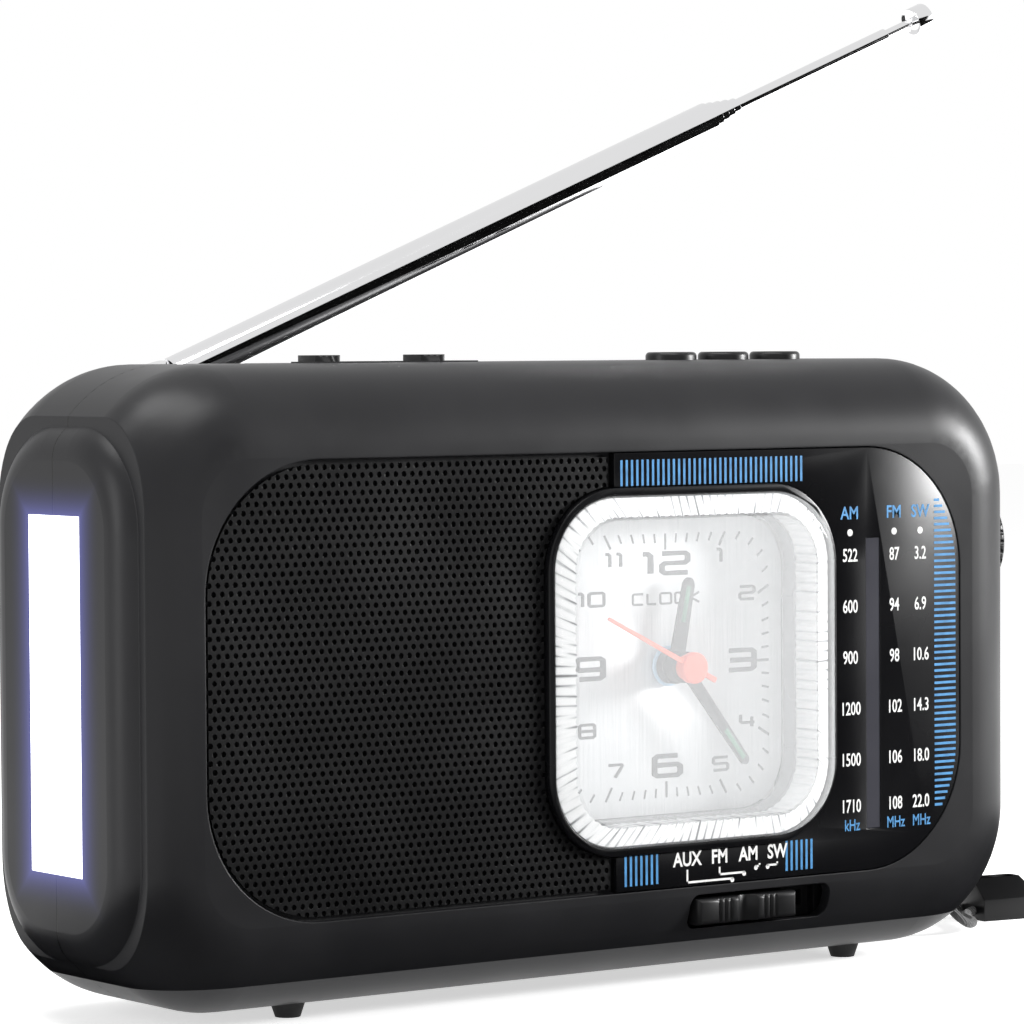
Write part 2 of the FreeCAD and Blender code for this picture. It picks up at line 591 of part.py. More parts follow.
def case_screws():
    """Four pan-head screws that hold the shells together, driven from the back."""
    screws = []
    for number, (x, level) in enumerate(screw_places()):
        shank = round_bar(f"screw_shank_{number}", FRONT, x, "screw_seat_depth + 1", level, "screw_radius",
                          "screw_length")
        head = round_bar(f"screw_head_{number}", BACK, x, "screw_seat_depth", level, "screw_head_radius",
                         "2 * screw_radius")
        wide, thin = "screw_slot_half", "screw_slot_wide / 2"
        cross = [block(f"screw_{way}_{number}", f"{x} - {across}", f"{x} + {across}", "screw_seat_depth + 2",
                       "screw_seat_depth + 5", f"{level} - {up}", f"{level} + {up}")
                 for way, across, up in (("slot", thin, wide), ("bar", wide, thin))]
        screws.append(less(f"screw_{number}", joined(f"screw_form_{number}", [shank, head]), cross))
    keep(joined("case_screws", screws), "case_screws")


def feet():
    """Four tapered rubber feet, set in shallow seats of the bottom."""
    items = [round_bar(f"foot_{number}", TOP, x, depth, "0", "foot_tip_radius", "foot_height + foot_seat",
                       "foot_radius") for number, (x, depth) in enumerate(foot_places(True) + foot_places(False))]
    keep(joined("feet", items), "feet")


# ---- Lamp --------------------------------------------------------------------------------------------------

def lamp():
    """Diffuser window, reflector frame, board and chips of the side lamp."""
    glass = window_frame("lamp_glass", "lamp_face_x + window_gap", "reflector_x", "-window_gap")
    flange = window_frame("lamp_flange", "flange_x", "reflector_x", "flange_width")
    keep(joined("lamp_lens", [glass, flange]), "lamp_lens")
    frame = window_frame("reflector_frame", "reflector_x", "lamp_board_x", "flange_width")
    opening = window_frame("reflector_opening", "lamp_face_x", "lamp_board_x + wall", "-2")
    keep(less("lamp_reflector", frame, [opening]), "lamp_reflector")
    board = window_frame("lamp_plate", "lamp_board_x", "lamp_board_x + lamp_board_thick", "flange_width")
    chips = [board]
    for row in range(-5, 6):
        for column in (-0.5, 0.5):
            level = f"window_level + {row} * chip_pitch"
            depth = f"parting + {column} * chip_pitch"
            chips.append(block(f"chip_{row + 5}_{column > 0:d}", "lamp_board_x - chip_thick", "lamp_board_x",
                               f"{depth} - chip_size / 2", f"{depth} + chip_size / 2",
                               f"{level} - chip_size / 2", f"{level} + chip_size / 2"))
    keep(joined("lamp_board", chips), "lamp_board")


# ---- Front panel and speaker -------------------------------------------------------------------------------

def front_plates():
    """Speaker grille, printed scale panel and the dark window strip in it."""
    keep_left = block("grille_side", "2 * case_left", "grille_right_x", "-5", "case_depth", "0", "2 * case_top")
    bite = clock_form("grille_bite", "bezel_size + 0.6", "bezel_corner + 0.3", "-2", "case_edge")
    sheet = shared("grille_sheet", [plate_form("grille_form", "grille_gap", "grille_front", "panel_recess"),
                                    keep_left])
    keep(less("speaker_grille", sheet, [bite]), "speaker_grille")
    keep_right = block("scale_side", "scale_left_x", "2 * case_right", "-5", "case_depth", "0", "2 * case_top")
    second_bite = clock_form("scale_bite", "bezel_size + 0.2", "bezel_corner + 0.1", "-2", "case_edge")
    strip_cut = block("strip_cut", "slot_x - slot_width / 2", "slot_x + slot_width / 2", "-1", "case_edge",
                      "slot_level - slot_height / 2", "slot_level + slot_height / 2")
    sheet = shared("scale_sheet", [plate_form("scale_form", "panel_gap", "panel_front", "panel_recess"),
                                   keep_right])
    keep(less("scale_panel", sheet, [second_bite, strip_cut]), "scale_panel")
    keep(block("pointer_window", "slot_x - slot_width / 2 + 0.05", "slot_x + slot_width / 2 - 0.05",
               "panel_front + 0.2", "panel_front + 1.0", "slot_level - slot_height / 2 + 0.05",
               "slot_level + slot_height / 2 - 0.05"), "pointer_window")


def speaker():
    """Pressed basket, paper cone with its dust cap, and the magnet."""
    front = "panel_recess + panel_floor"
    basket = new_body("speaker_basket", BACK, "speaker_x", front, "panel_level")
    revolve(basket, outline(basket, [
        ("speaker_opening + 1", "0.1"), ("speaker_radius", "0.1"), ("speaker_radius", "0.1 + sheet_metal"),
        ("speaker_opening + 1.5", "0.1 + sheet_metal"), ("magnet_radius - 2", "speaker_deep"),
        ("magnet_radius - 8", "speaker_deep"), ("magnet_radius - 8", "speaker_deep - sheet_metal"),
        ("magnet_radius - 3", "speaker_deep - sheet_metal")], plane="XZ_Plane"))
    keep(basket, "speaker_basket")
    cone = new_body("speaker_cone", BACK, "speaker_x", front, "panel_level")
    revolve(cone, outline(cone, [
        ("0", "speaker_deep - 6"), ("6", "speaker_deep - 4.5"), ("10", "speaker_deep - 2.6"),
        ("speaker_opening - 5", "1.6"), ("speaker_opening - 3", "0.4"), ("speaker_opening - 1", "0.8"),
        ("speaker_opening", "0.3"), ("speaker_opening", "0.6"), ("speaker_opening - 1", "1.1"),
        ("speaker_opening - 3", "0.8"), ("speaker_opening - 5", "2.2"), ("10", "speaker_deep - 2"),
        ("0", "speaker_deep - 2")], plane="XZ_Plane"))
    keep(cone, "speaker_cone")
    magnet = new_body("speaker_magnet", BACK, "speaker_x", f"{front} + speaker_deep", "panel_level")
    feature = pad(magnet, circles(magnet, [("0", "0", "magnet_radius")]), "magnet_thick")
    soften(magnet, feature, flat_at(value("magnet_thick")), "1", "Chamfer")
    keep(magnet, "speaker_magnet")


# ---- Clock -------------------------------------------------------------------------------------------------

def clock_housing():
    """Bezel ring, clear cup, dial plate and movement."""
    ring = clock_form("bezel_blank", "bezel_size", "bezel_corner", "-bezel_rise", "panel_recess")
    hole = clock_form("bezel_hole", "lens_size + 0.1", "lens_corner + 0.05", "-lens_rise", "case_edge")
    keep(less("clock_bezel", ring, [hole]), "clock_bezel")
    cup = new_body("cup_form", FRONT, "clock_x", "0", "clock_level")
    feature = pad(cup, square(cup, "lens_size", "-dial_depth"), "dial_depth + lens_rise")
    feature = soften(cup, feature, upright, "lens_corner")
    soften(cup, feature, flat_at(value("lens_rise")), "(lens_size - lens_front_size) / 2", "Chamfer")
    inside = new_body("cup_inside", FRONT, "clock_x", "0", "clock_level")
    feature = pad(inside, square(inside, "lens_inside", "-2 * dial_depth"), "2 * dial_depth + lens_rise - lens_wall")
    soften(inside, feature, upright, "lens_corner - (lens_size - lens_inside) / 2")
    keep(less("clock_lens", cup, [inside]), "clock_lens")
    dial = new_body("clock_dial", FRONT, "clock_x", "dial_depth", "clock_level")
    feature = pad(dial, square(dial, "dial_size"), "dial_thick", True)
    soften(dial, feature, upright, "dial_corner")
    pocket(dial, circles(dial, [("0", "0", "alarm_pipe + 0.3")]), "dial_thick")
    keep(dial, "clock_dial")
    case = new_body("clock_movement", FRONT, "clock_x", "dial_back", "clock_level")
    pad(case, square(case, "movement_size"), "movement_thick", True)
    pocket(case, circles(case, [("0", "0", "alarm_pipe + running_gap")]), "movement_thick / 2")
    shafts = [(f"{side} * set_knob_spread", "set_knob_level - clock_level", "screw_radius + running_gap")
              for side in (-1, 1)]
    pocket(case, circles(case, shafts, "-movement_thick"), "movement_thick / 3", upwards=True)
    keep(case, "clock_movement")


def hand_body(name, angle):
    """A body on the clock's axis, turned clockwise from twelve."""
    body = new_body(name, FRONT, "clock_x", "0", "clock_level")
    body.Placement.Rotation = FRONT * FreeCAD.Rotation(vector(0, 0, 1), -angle)
    bind(body, x="case_x + clock_x", y="case_y", z="clock_level")
    return body


def hand_pipe(body, height, reach, outer, inner):
    """The pipe that carries a hand, down into the movement."""
    rings = [("0", "0", outer)] + ([("0", "0", inner)] if inner else [])
    pad(body, circles(body, rings, height), reach, True)


def hands():
    """Hour, minute and second hands and the alarm disc, each on its own pipe."""
    into = "dial_back + movement_thick / 3"
    hour = hand_body("hour_hand", value("hour_angle"))
    pad(hour, outline(hour, [("-hour_width / 2", "1.5"), ("hour_width / 2", "1.5"),
                             ("hour_width / 2 - 0.5", "hour_length - 2"), ("0", "hour_length"),
                             ("-hour_width / 2 + 0.5", "hour_length - 2")], "-hour_depth"), "hand_thick")
    hand_pipe(hour, "-hour_depth + hand_thick", f"{into} - hour_depth + hand_thick", "hour_pipe", "")
    pocket(hour, circles(hour, [("0", "0", "minute_pipe + running_gap")], "0"), "3 * dial_depth")
    keep(hour, "hour_hand")
    minute = hand_body("minute_hand", value("minute_angle"))
    pad(minute, outline(minute, [("-minute_width / 2", "-1"), ("minute_width / 2", "-1"),
                                 ("minute_width / 2 - 0.4", "minute_length - 2"), ("0", "minute_length"),
                                 ("-minute_width / 2 + 0.4", "minute_length - 2")], "-minute_depth"),
        "hand_thick")
    hand_pipe(minute, "-minute_depth + hand_thick", f"{into} - minute_depth + hand_thick", "minute_pipe", "")
    pocket(minute, circles(minute, [("0", "0", "second_arbor + running_gap")], "0"), "3 * dial_depth")
    keep(minute, "minute_hand")
    second = hand_body("second_hand", value("second_angle"))
    pad(second, outline(second, [("-0.8", "-second_tail"), ("0.8", "-second_tail"), ("0.35", "second_length"),
                                 ("-0.35", "second_length")], "-second_depth"), "hand_thick")
    pad(second, circles(second, [("0", "0", "3.2")], "-second_depth - hand_thick"), "2 * hand_thick + 0.5")
    hand_pipe(second, "-second_depth", f"{into} - second_depth", "second_arbor", "")
    keep(second, "second_hand")
    disc = hand_body("alarm_disc", 0)
    pad(disc, circles(disc, [("0", "0", "alarm_disc_radius")], "-dial_depth + 0.8"), "0.5")
    hand_pipe(disc, "-dial_depth + 0.9", f"{into} - dial_depth + 0.9", "alarm_pipe", "")
    pocket(disc, circles(disc, [("0", "0", "hour_pipe + running_gap")], "0"), "3 * dial_depth")
    keep(disc, "alarm_disc")


def set_knobs():
    """The two small knobs at the back that set the time and the alarm."""
    for name, side in (("alarm_set_knob", -1), ("time_set_knob", 1)):
        base = "case_depth - set_recess_depth + 0.3"
        knob = new_body(name, BACK, f"clock_x + {side} * set_knob_spread", base, "set_knob_level")
        feature = pad(knob, circles(knob, [("0", "0", "set_knob_radius")]), "set_knob_thick")
        feature = soften(knob, feature, flat_at(value("set_knob_thick")), "0.8")
        notch = pocket(knob, circles(knob, [("set_knob_radius + 0.5", "0", "1")], "2 * set_knob_thick"),
                       "2 * set_knob_thick")
        repeat_round(knob, notch, 16)
        pad(knob, circles(knob, [("0", "0", "screw_radius")], "0.5"),
            f"{base} - movement_back + movement_thick / 3", True)
        keep(knob, name)


# ---- Tuning scale and side knobs ---------------------------------------------------------------------------

def tuning():
    """Pointer on its rail, drum and capacitor."""
    low = "slot_level - slot_height / 2 - rail_extra"
    high = "slot_level + slot_height / 2 + rail_extra"
    rail = round_bar("rail_bar", TOP, "slot_x", "rail_depth", low, "rail_radius", f"({high}) - ({low})")
    ends = [block(f"rail_end_{number}", "slot_x - slider_half", "slot_x + slider_half",
                  "panel_recess + panel_floor", "rail_depth + 2 * rail_radius", f"{level} - rail_radius",
                  f"{level} + rail_radius") for number, level in enumerate((low, high))]
    keep(joined("pointer_rail", [rail] + ends), "pointer_rail")
    needle = block("needle", "slot_x - slot_width / 2 + needle_gap", "slot_x + slot_width / 2 - needle_gap",
                   "panel_front + 1 + needle_gap", "rail_depth - rail_radius", "pointer_level - pointer_height / 2",
                   "pointer_level + pointer_height / 2")
    slider = block("slider", "slot_x - slider_half", "slot_x + slider_half", "rail_depth - slider_reach",
                   "rail_depth + slider_reach", "pointer_level - slider_reach", "pointer_level + slider_reach")
    bore = round_bar("slider_bore", TOP, "slot_x", "rail_depth", "pointer_level - 2 * slider_reach",
                     "rail_radius + running_gap", "4 * slider_reach")
    keep(less("dial_pointer", joined("pointer_form", [needle, slider]), [bore]), "dial_pointer")
    capacitor = block("capacitor_can", "drum_x - can_half", "drum_x + can_half", "drum_depth + 1.5",
                      "board_depth", "drum_level - can_half", "drum_level + can_half")
    bore = round_bar("capacitor_bore", FRONT, "drum_x", "drum_depth + 8", "drum_level",
                     "drum_shaft + running_gap", "2 * can_half")
    keep(less("tuning_capacitor", capacitor, [bore]), "tuning_capacitor")
    drum = new_body("tuning_drum", FRONT, "drum_x", "drum_depth", "drum_level")
    profile = [("0", "-1.2"), ("drum_radius", "-1.2"), ("drum_radius", "-0.4"), ("drum_radius - 1.2", "0.3"),
               ("drum_radius", "1.0"), ("drum_radius", "1.8"), ("0", "1.8")]
    revolve(drum, outline(drum, profile, plane="XZ_Plane"))
    pad(drum, circles(drum, [("0", "0", "drum_shaft")], "-1"), "5", True)
    keep(drum, "tuning_drum")


def side_knob(name, radius, level, shaft):
    """A grooved knob on the right end with a dished face, and the shaft that it turns."""
    knob = new_body(name, RIGHT, "case_right + side_knob_gap", "parting", level)
    feature = pad(knob, circles(knob, [("0", "0", radius)]), "side_knob_thick")
    top = value("side_knob_thick")
    feature = soften(knob, feature, flat_at(top), "1.2")
    groove = pocket(knob, circles(knob, [(f"{radius} + 0.45", "0", "knob_groove")], "2 * side_knob_thick"),
                    "2 * side_knob_thick - 1.5")
    repeat_round(knob, groove, 36)
    pocket(knob, circles(knob, [("0", "0", f"{radius} - 2.6")], "side_knob_thick"), "knob_dish")
    pad(knob, circles(knob, [("0", "0", "shaft_radius")], "1"), shaft, True)
    keep(knob, name)


def side_controls():
    """Tuning and volume knobs with what they turn in."""
    side_knob("tuning_knob", "tuning_radius", "tuning_level", "tuning_shaft_length")
    side_knob("volume_knob", "volume_radius", "volume_level", "volume_shaft_length")
    bearing = block("bearing_block", "case_right - bearing_far", "case_right - bearing_near",
                    "parting - bearing_half", "parting + bearing_half", "tuning_level - bearing_half",
                    "tuning_level + bearing_half")
    bore = round_bar("bearing_bore", RIGHT, "case_right - 30", "parting", "tuning_level",
                     "shaft_radius + running_gap", "20")
    bridge = block("bearing_foot", "board_right_x - 6", "case_right - bearing_near", "board_depth - foot_thick",
                   "board_depth", "tuning_level - 16", "tuning_level - 5")
    keep(less("tuning_bearing", joined("bearing_form", [bearing, bridge]), [bore]), "tuning_bearing")
    pot = block("pot_case", "case_right - pot_far", "case_right - pot_near", "parting - pot_half",
                "parting + pot_half", "volume_level - pot_half", "volume_level + pot_half")
    foot = block("pot_foot", "board_right_x - 8", "case_right - 12", "board_depth - foot_thick", "board_depth",
                 "volume_level - 5", "volume_level + 5")
    bore = round_bar("pot_bore", RIGHT, "case_right - 16", "parting", "volume_level",
                     "shaft_radius + running_gap", "20")
    keep(less("volume_control", joined("pot_form", [pot, foot]), [bore]), "volume_control")


# ---- Switches and buttons ----------------------------------------------------------------------------------

def band_switch():
    """The band knob in its slot under the panel, and the switch behind it."""
    left = "band_x - band_slot_width / 2 + band_rest_gap"
    knob = new_body("band_form", FRONT, left, "band_front", "band_level")
    half = "band_knob_height / 2"
    sketch = rectangle(knob, "0", "band_knob_width", f"-{half}", half)
    feature = pad(knob, sketch, "band_knob_thick", True)
    soften(knob, feature, lambda edge: upright(edge) or flat_at(0)(edge), "1")
    middle = f"{left} + band_knob_width / 2"
    waist = round_bar("band_waist_bar", FRONT, middle, "band_front + band_waist / 2", "band_level", "band_waist",
                      "10")
    grooves = [block(f"band_groove_{number}", f"{middle} + {offset} - band_groove / 2",
                     f"{middle} + {offset} + band_groove / 2", "band_front - 1", "band_front + 0.7",
                     "band_level - band_knob_height", "band_level + band_knob_height")
               for number, offset in enumerate((-7, -5.4, 5.4, 7))]
    carrier = block("band_carrier", f"{left} + 5", f"{left} + band_knob_width - 5",
                    "band_front + band_knob_thick - 1", "band_front + band_knob_thick + 2",
                    "band_level - band_blade", "band_level + band_blade")
    keep(less("band_switch_knob", joined("band_knob_form", [knob, carrier]), [waist] + grooves),
         "band_switch_knob")
    can = block("band_can", "band_x - band_can_half", "band_x + band_can_half", "band_front + band_can_front",
                "band_front + band_can_back", "band_level - band_can_high", "band_level + band_can_high")
    slot = block("band_can_slot", "band_x - band_can_half + 2", "band_x + band_can_half - 2", "band_front",
                 "band_front + band_knob_thick + 2.4", "band_level - band_blade - 0.2",
                 "band_level + band_blade + 0.2")
    pads = [block(f"band_seat_{number}", f"{x} - band_pad_half", f"{x} + band_pad_half", "wall + 3.3",
                  "band_front + band_can_back", "band_level - band_can_high", "band_level + band_can_high")
            for number, x in enumerate(("band_x - band_can_half - 2", "band_x + band_can_half + 2"))]
    keep(less("band_switch", joined("band_switch_form", [can] + pads), [slot]), "band_switch")


def top_switches():
    """Two slide switches on the top: nubs with their carriers, and the cans that they slide over."""
    cans = []
    for name, x, nub in switch_places():
        cap = block(f"{name}_nub", f"{nub} - nub_width / 2", f"{nub} + nub_width / 2",
                    "top_depth - nub_across / 2", "top_depth + nub_across / 2", "inner_top - 0.6",
                    "case_top + nub_rise")
        wide = "(nub_width / 2 + carrier_margin)"
        deep = "(nub_across / 2 + carrier_margin)"
        carrier = block(f"{name}_carrier", f"{nub} - {wide}", f"{nub} + {wide}", f"top_depth - {deep}",
                        f"top_depth + {deep}", "inner_top - 1.5", "inner_top - 0.3")
        tail = block(f"{name}_tail", f"{nub} - 1", f"{nub} + 1", "top_depth - 1", "top_depth + 1",
                     "inner_top - 5", "inner_top - 1")
        keep(joined(f"{name}_knob", [cap, carrier, tail]), f"{name}_knob")
        depths = ("top_depth - switch_can_deep", "top_depth + switch_can_deep")
        can = block(f"{name}_can", f"{x} - switch_can_half", f"{x} + switch_can_half", *depths,
                    "inner_top - switch_can_drop", "inner_top - switch_can_top")
        slot = block(f"{name}_can_slot", f"{x} - 7.5", f"{x} + 7.5", "top_depth - 1.3", "top_depth + 1.3",
                     "inner_top - 5.5", "case_top")
        posts = [block(f"{name}_post_{number}", f"{x} + {side} * (switch_can_half + 1) - post_half",
                       f"{x} + {side} * (switch_can_half + 1) + post_half", *depths,
                       "inner_top - switch_can_drop", "inner_top - 0.1")
                 for number, side in enumerate((-1, 1))]
        cans.append(less(f"{name}_base", joined(f"{name}_base_form", [can] + posts), [slot]))
    keep(joined("top_switches", cans), "top_switches")


def buttons():
    """Three domed push buttons and the board with the key switches under them."""
    for name, x in button_places():
        body = new_body(name, TOP, x, "top_depth", "case_top")
        flange = "button_radius + button_flange"
        profile = [("0", "-wall - 4"), ("button_stem", "-wall - 4"), ("button_stem", "-wall - 1.6"),
                   (flange, "-wall - 1.6"), (flange, "-wall - 0.1"), ("button_radius", "-wall - 0.1"),
                   ("button_radius", "button_rise"), ("button_radius * 0.75", "button_rise + button_dome * 0.5"),
                   ("button_radius * 0.4", "button_rise + button_dome * 0.9"), ("0", "button_rise + button_dome")]
        revolve(body, outline(body, profile, plane="XZ_Plane"))
        keep(body, name)
    depths = ("top_depth - switch_can_deep", "top_depth + switch_can_deep")
    plate = block("key_plate", "button_x - button_pitch - 10", "button_x + button_pitch + 10", *depths,
                  "inner_top - key_plate_drop", "inner_top - key_plate_drop + key_plate_thick")
    posts = [block(f"key_post_{number}", f"button_x + {side} * (button_pitch + 8.5) - post_half",
                   f"button_x + {side} * (button_pitch + 8.5) + post_half", *depths,
                   "inner_top - key_plate_drop + 1", "inner_top - 0.1") for number, side in enumerate((-1, 1))]
    keys = [block(f"{name}_key", f"{x} - key_half", f"{x} + key_half", "top_depth - key_half",
                  "top_depth + key_half", "inner_top - key_plate_drop + key_plate_thick",
                  "inner_top - key_drop") for name, x in button_places()]
    keep(joined("key_board", [plate] + posts + keys), "key_board")


# ---- Inside ------------------------------------------------------------------------------------------------

def cells():
    """Four cells in two rows, and the springs and plates that touch them."""
    items = []
    springs = []
    for row in (-0.5, 0.5):
        level = f"cell_level + {row} * cell_pitch"
        for side in (-1, 1):
            start = "-cell_length" if side < 0 else "0"
            tag = f"{row > 0:d}_{side > 0:d}"
            tube = round_bar(f"cell_tube_{tag}", RIGHT, start, "cell_depth", level, "cell_radius",
                             "cell_length - cell_shoulder")
            nub = round_bar(f"cell_nub_{tag}", RIGHT, start, "cell_depth", level, "cell_nub",
                            "cell_length - 0.02")
            items.append(joined(f"cell_{tag}", [tube, nub]))
        spring = round_bar(f"spring_{row > 0:d}", LEFT, "-cell_length - contact_gap", "cell_depth", level,
                           "spring_radius", "tray_width / 2 - cell_length - contact_gap - plate_thick", "spring_end")
        plate = block(f"spring_plate_{row > 0:d}", "tray_left + 2 * contact_gap",
                      "tray_left + 2 * contact_gap + plate_thick", "cell_depth - spring_plate_half",
                      "cell_depth + spring_plate_half", f"{level} - spring_plate_half",
                      f"{level} + spring_plate_half")
        springs.append(joined(f"spring_set_{row > 0:d}", [spring, plate]))
        springs.append(block(f"contact_{row > 0:d}", "cell_length + contact_gap", "-tray_left - 2 * contact_gap",
                             "cell_depth - contact_half", "cell_depth + contact_half", f"{level} - contact_half",
                             f"{level} + contact_half"))
    keep(joined("batteries", items), "batteries")
    keep(joined("battery_contacts", springs), "battery_contacts")


def inside():
    """Main board with its parts, the ferrite aerial, and the sockets in the back."""
    board = block("board_plate", "board_left_x", "board_right_x", "board_depth", "board_depth + board_thick",
                  "board_low", "board_high")
    chips = [block(f"board_part_{number}", f"board_left_x + {x}", f"board_left_x + {x} + {size}",
                   "board_depth + board_thick", f"board_depth + board_thick + {size} / 2", f"board_low + {level}",
                   f"board_low + {level} + {size}")
             for number, (x, level, size) in enumerate(((4, 8, 9), (20, 14, 7), (8, 30, 8), (22, 40, 10),
                                                        (8, 60, 9), (30, 66, 6)))]
    arm = block("board_arm", "board_right_x - 2", "screw_x - boss_radius - 0.1", "board_depth - 3", "board_depth",
                "screw_level + 2.5", "screw_level + 9")
    keep(joined("main_board", [board] + chips + [arm]), "main_board")
    ferrite = round_bar("ferrite_bar", RIGHT, "ferrite_x - ferrite_length / 2", "channel_wall_depth + 2",
                        "ferrite_level", "ferrite_radius", "ferrite_length")
    coil = round_bar("ferrite_coil", RIGHT, "ferrite_x - ferrite_length / 4", "channel_wall_depth + 2",
                     "ferrite_level", "ferrite_radius + coil_thick", "ferrite_length / 3")
    keep(joined("ferrite_rod", [ferrite, coil]), "ferrite_rod")
    for name in ("phone", "power"):
        barrel = round_bar(f"{name}_barrel", FRONT, "socket_x", "case_depth - socket_inset", f"{name}_level",
                           "socket_radius - 0.1", "socket_barrel")
        flange = round_bar(f"{name}_flange", FRONT, "socket_x", "case_depth - wall - 0.1", f"{name}_level",
                           "socket_radius + socket_flange", "6")
        bore = round_bar(f"{name}_bore", FRONT, "socket_x", "case_depth + 1", f"{name}_level", f"{name}_bore",
                         f"{name}_deep + 1.2")
        socket = less(f"{name}_form", joined(f"{name}_solid", [barrel, flange]), [bore])
        if name == "power":
            pin = round_bar("power_pin", FRONT, "socket_x", "case_depth - 1", "power_level", "power_pin",
                            "power_deep + 2")
            socket = joined("power_socket", [socket, pin])
        keep(socket, f"{name}_socket")


# ---- Antenna -----------------------------------------------------------------------------------------------

def antenna_rotation():
    """Local z along the antenna, local y up from it and local x to the front."""
    rise = math.radians(value("antenna_rise"))
    along = vector(math.cos(rise), 0, math.sin(rise))
    above = vector(-math.sin(rise), 0, math.cos(rise))
    return FreeCAD.Rotation(above.cross(along), above, along, "ZYX")


def antenna_body(name):
    """A body with its zero at the antenna's pivot and its z axis along the antenna."""
    return new_body(name, antenna_rotation(), "pivot_x", "antenna_depth", "pivot_level")


def antenna_mount():
    """Knuckle that turns on a screw, with two ears that hold the elbow pin."""
    knuckle = antenna_body("knuckle_form")
    outer = "tongue_thick / 2 + running_gap + ear_thick"
    gap = "tongue_thick / 2 + running_gap"
    feature = pad(knuckle, rectangle(knuckle, "-tube_radius", "tube_radius", f"-({outer})", outer, "0"),
                  "elbow_reach + tube_radius")
    pocket(knuckle, rectangle(knuckle, "-2 * tube_radius", "2 * tube_radius", f"-({gap})", gap,
                              "elbow_reach + 2 * tube_radius"), "3 * tube_radius + 0.3")
    ear = antenna_body("ear_form")
    pad(ear, rectangle(ear, "-tube_radius", "tube_radius", "-elbow_reach", "elbow_reach", "-tube_radius"),
        "elbow_reach + tube_radius")
    round_end = elbow_cylinder("ear_round", "tube_radius", "elbow_reach")
    barrel = round_bar("knuckle_barrel", FRONT, "pivot_x", "pivot_back", "pivot_level", "tube_radius",
                       "pivot_back - knuckle_front")
    bore = round_bar("knuckle_bore", FRONT, "pivot_x", "pivot_back + 1", "pivot_level",
                     "screw_radius + running_gap", "20")
    pin_hole = elbow_cylinder("pin_hole", "pin_radius", "2 * tube_radius")
    fork = shared("fork", [knuckle, joined("ear_envelope", [ear, round_end])])
    keep(less("antenna_knuckle", joined("knuckle_solid", [fork, barrel]), [bore, pin_hole]), "antenna_knuckle")
    keep(elbow_cylinder("antenna_pin", "pin_radius", outer), "antenna_pin")
    shank = round_bar("pivot_shank", FRONT, "pivot_x", "pivot_back + 0.5", "pivot_level", "screw_radius",
                      "pivot_back - channel_wall_depth + 6")
    head = round_bar("pivot_head", BACK, "pivot_x", "pivot_back + 0.1", "pivot_level", "screw_head_radius", "1.8",
                     "screw_head_radius - 0.7")
    keep(joined("antenna_screw", [shank, head]), "antenna_screw")


def elbow_cylinder(name, radius, half):
    """A cylinder across the antenna at its elbow."""
    rise = math.radians(value("antenna_rise"))
    bar = DOC.addObject("Part::Cylinder", name)
    above = vector(-math.sin(rise), 0, math.cos(rise))
    bar.Placement = FreeCAD.Placement(vector(0, 0, 0), FreeCAD.Rotation(vector(0, 0, 1), above))
    bind(bar, Radius=radius, Height=f"2 * ({half})",
         x=f"case_x + pivot_x + elbow_reach * cos(antenna_rise * 1deg) + ({half}) * sin(antenna_rise * 1deg)",
         y="case_y + antenna_depth",
         z=f"pivot_level + elbow_reach * sin(antenna_rise * 1deg) - ({half}) * cos(antenna_rise * 1deg)")
    return bar


def antenna_sections():
    """The first tube with its elbow tongue, five nested tubes, and the rod with its cap."""
    first = antenna_body("first_tube")
    start = "elbow_reach + tube_radius + 0.4"
    pad(first, circles(first, [("0", "0", "tube_radius")], start), f"tube_reach - ({start})")
    pocket(first, circles(first, [("0", "0", "tube_radius - tube_step + tube_gap")], "tube_reach"),
           f"tube_reach - ({start}) - 1.5")
    half = "tongue_thick / 2"
    pad(first, rectangle(first, "-tube_radius + 0.6", "tube_radius - 0.6", f"-{half}", half, start),
        "tube_radius + 3.4", True)
    tongue_round = shared("tongue_side", [first, joined("tongue_envelope", [
        elbow_cylinder("tongue_round", "tube_radius - 0.6", "tube_radius"), first_envelope()])])
    keep(less("antenna_tube_1", tongue_round, [elbow_cylinder("tongue_hole", "pin_radius + running_gap",
                                                              "2 * tube_radius")]), "antenna_tube_1")
    for number in range(2, 7):
        body = antenna_body(f"antenna_tube_{number}")
        radius = f"tube_radius - {number - 1} * tube_step"
        end = f"tube_reach + {min(number - 1, 4)} * nested_step" + (" + thin_reach" if number == 6 else "")
        feature = pad(body, circles(body, [("0", "0", radius)], end), "tube_length", True)
        soften(body, feature, flat_at(round(section_end(number), 6)), "tube_gap * 3", "Chamfer")
        pocket(body, circles(body, [("0", "0", f"{radius} - tube_step + tube_gap")], end), "2 * tube_length")
        keep(body, f"antenna_tube_{number}")
    rod = antenna_body("antenna_rod")
    pad(rod, circles(rod, [("0", "0", "tube_radius - 6 * tube_step")], "cap_reach + 1"), "tube_length", True)
    pad(rod, circles(rod, [("0", "0", "cap_radius")], "cap_reach"), "cap_length")
    keep(rod, "antenna_rod")


def first_envelope():
    """What the first tube keeps beyond its shoulder."""
    body = antenna_body("tube_envelope")
    pad(body, circles(body, [("0", "0", "2 * tube_radius")], "elbow_reach"), "2 * tube_reach")
    return body


def section_end(number):
    """How far a nested tube's end stands from the pivot."""
    end = value("tube_reach") + min(number - 1, 4) * value("nested_step")
    return end + (value("thin_reach") if number == 6 else 0.0)


# ---- Wrist strap -------------------------------------------------------------------------------------------

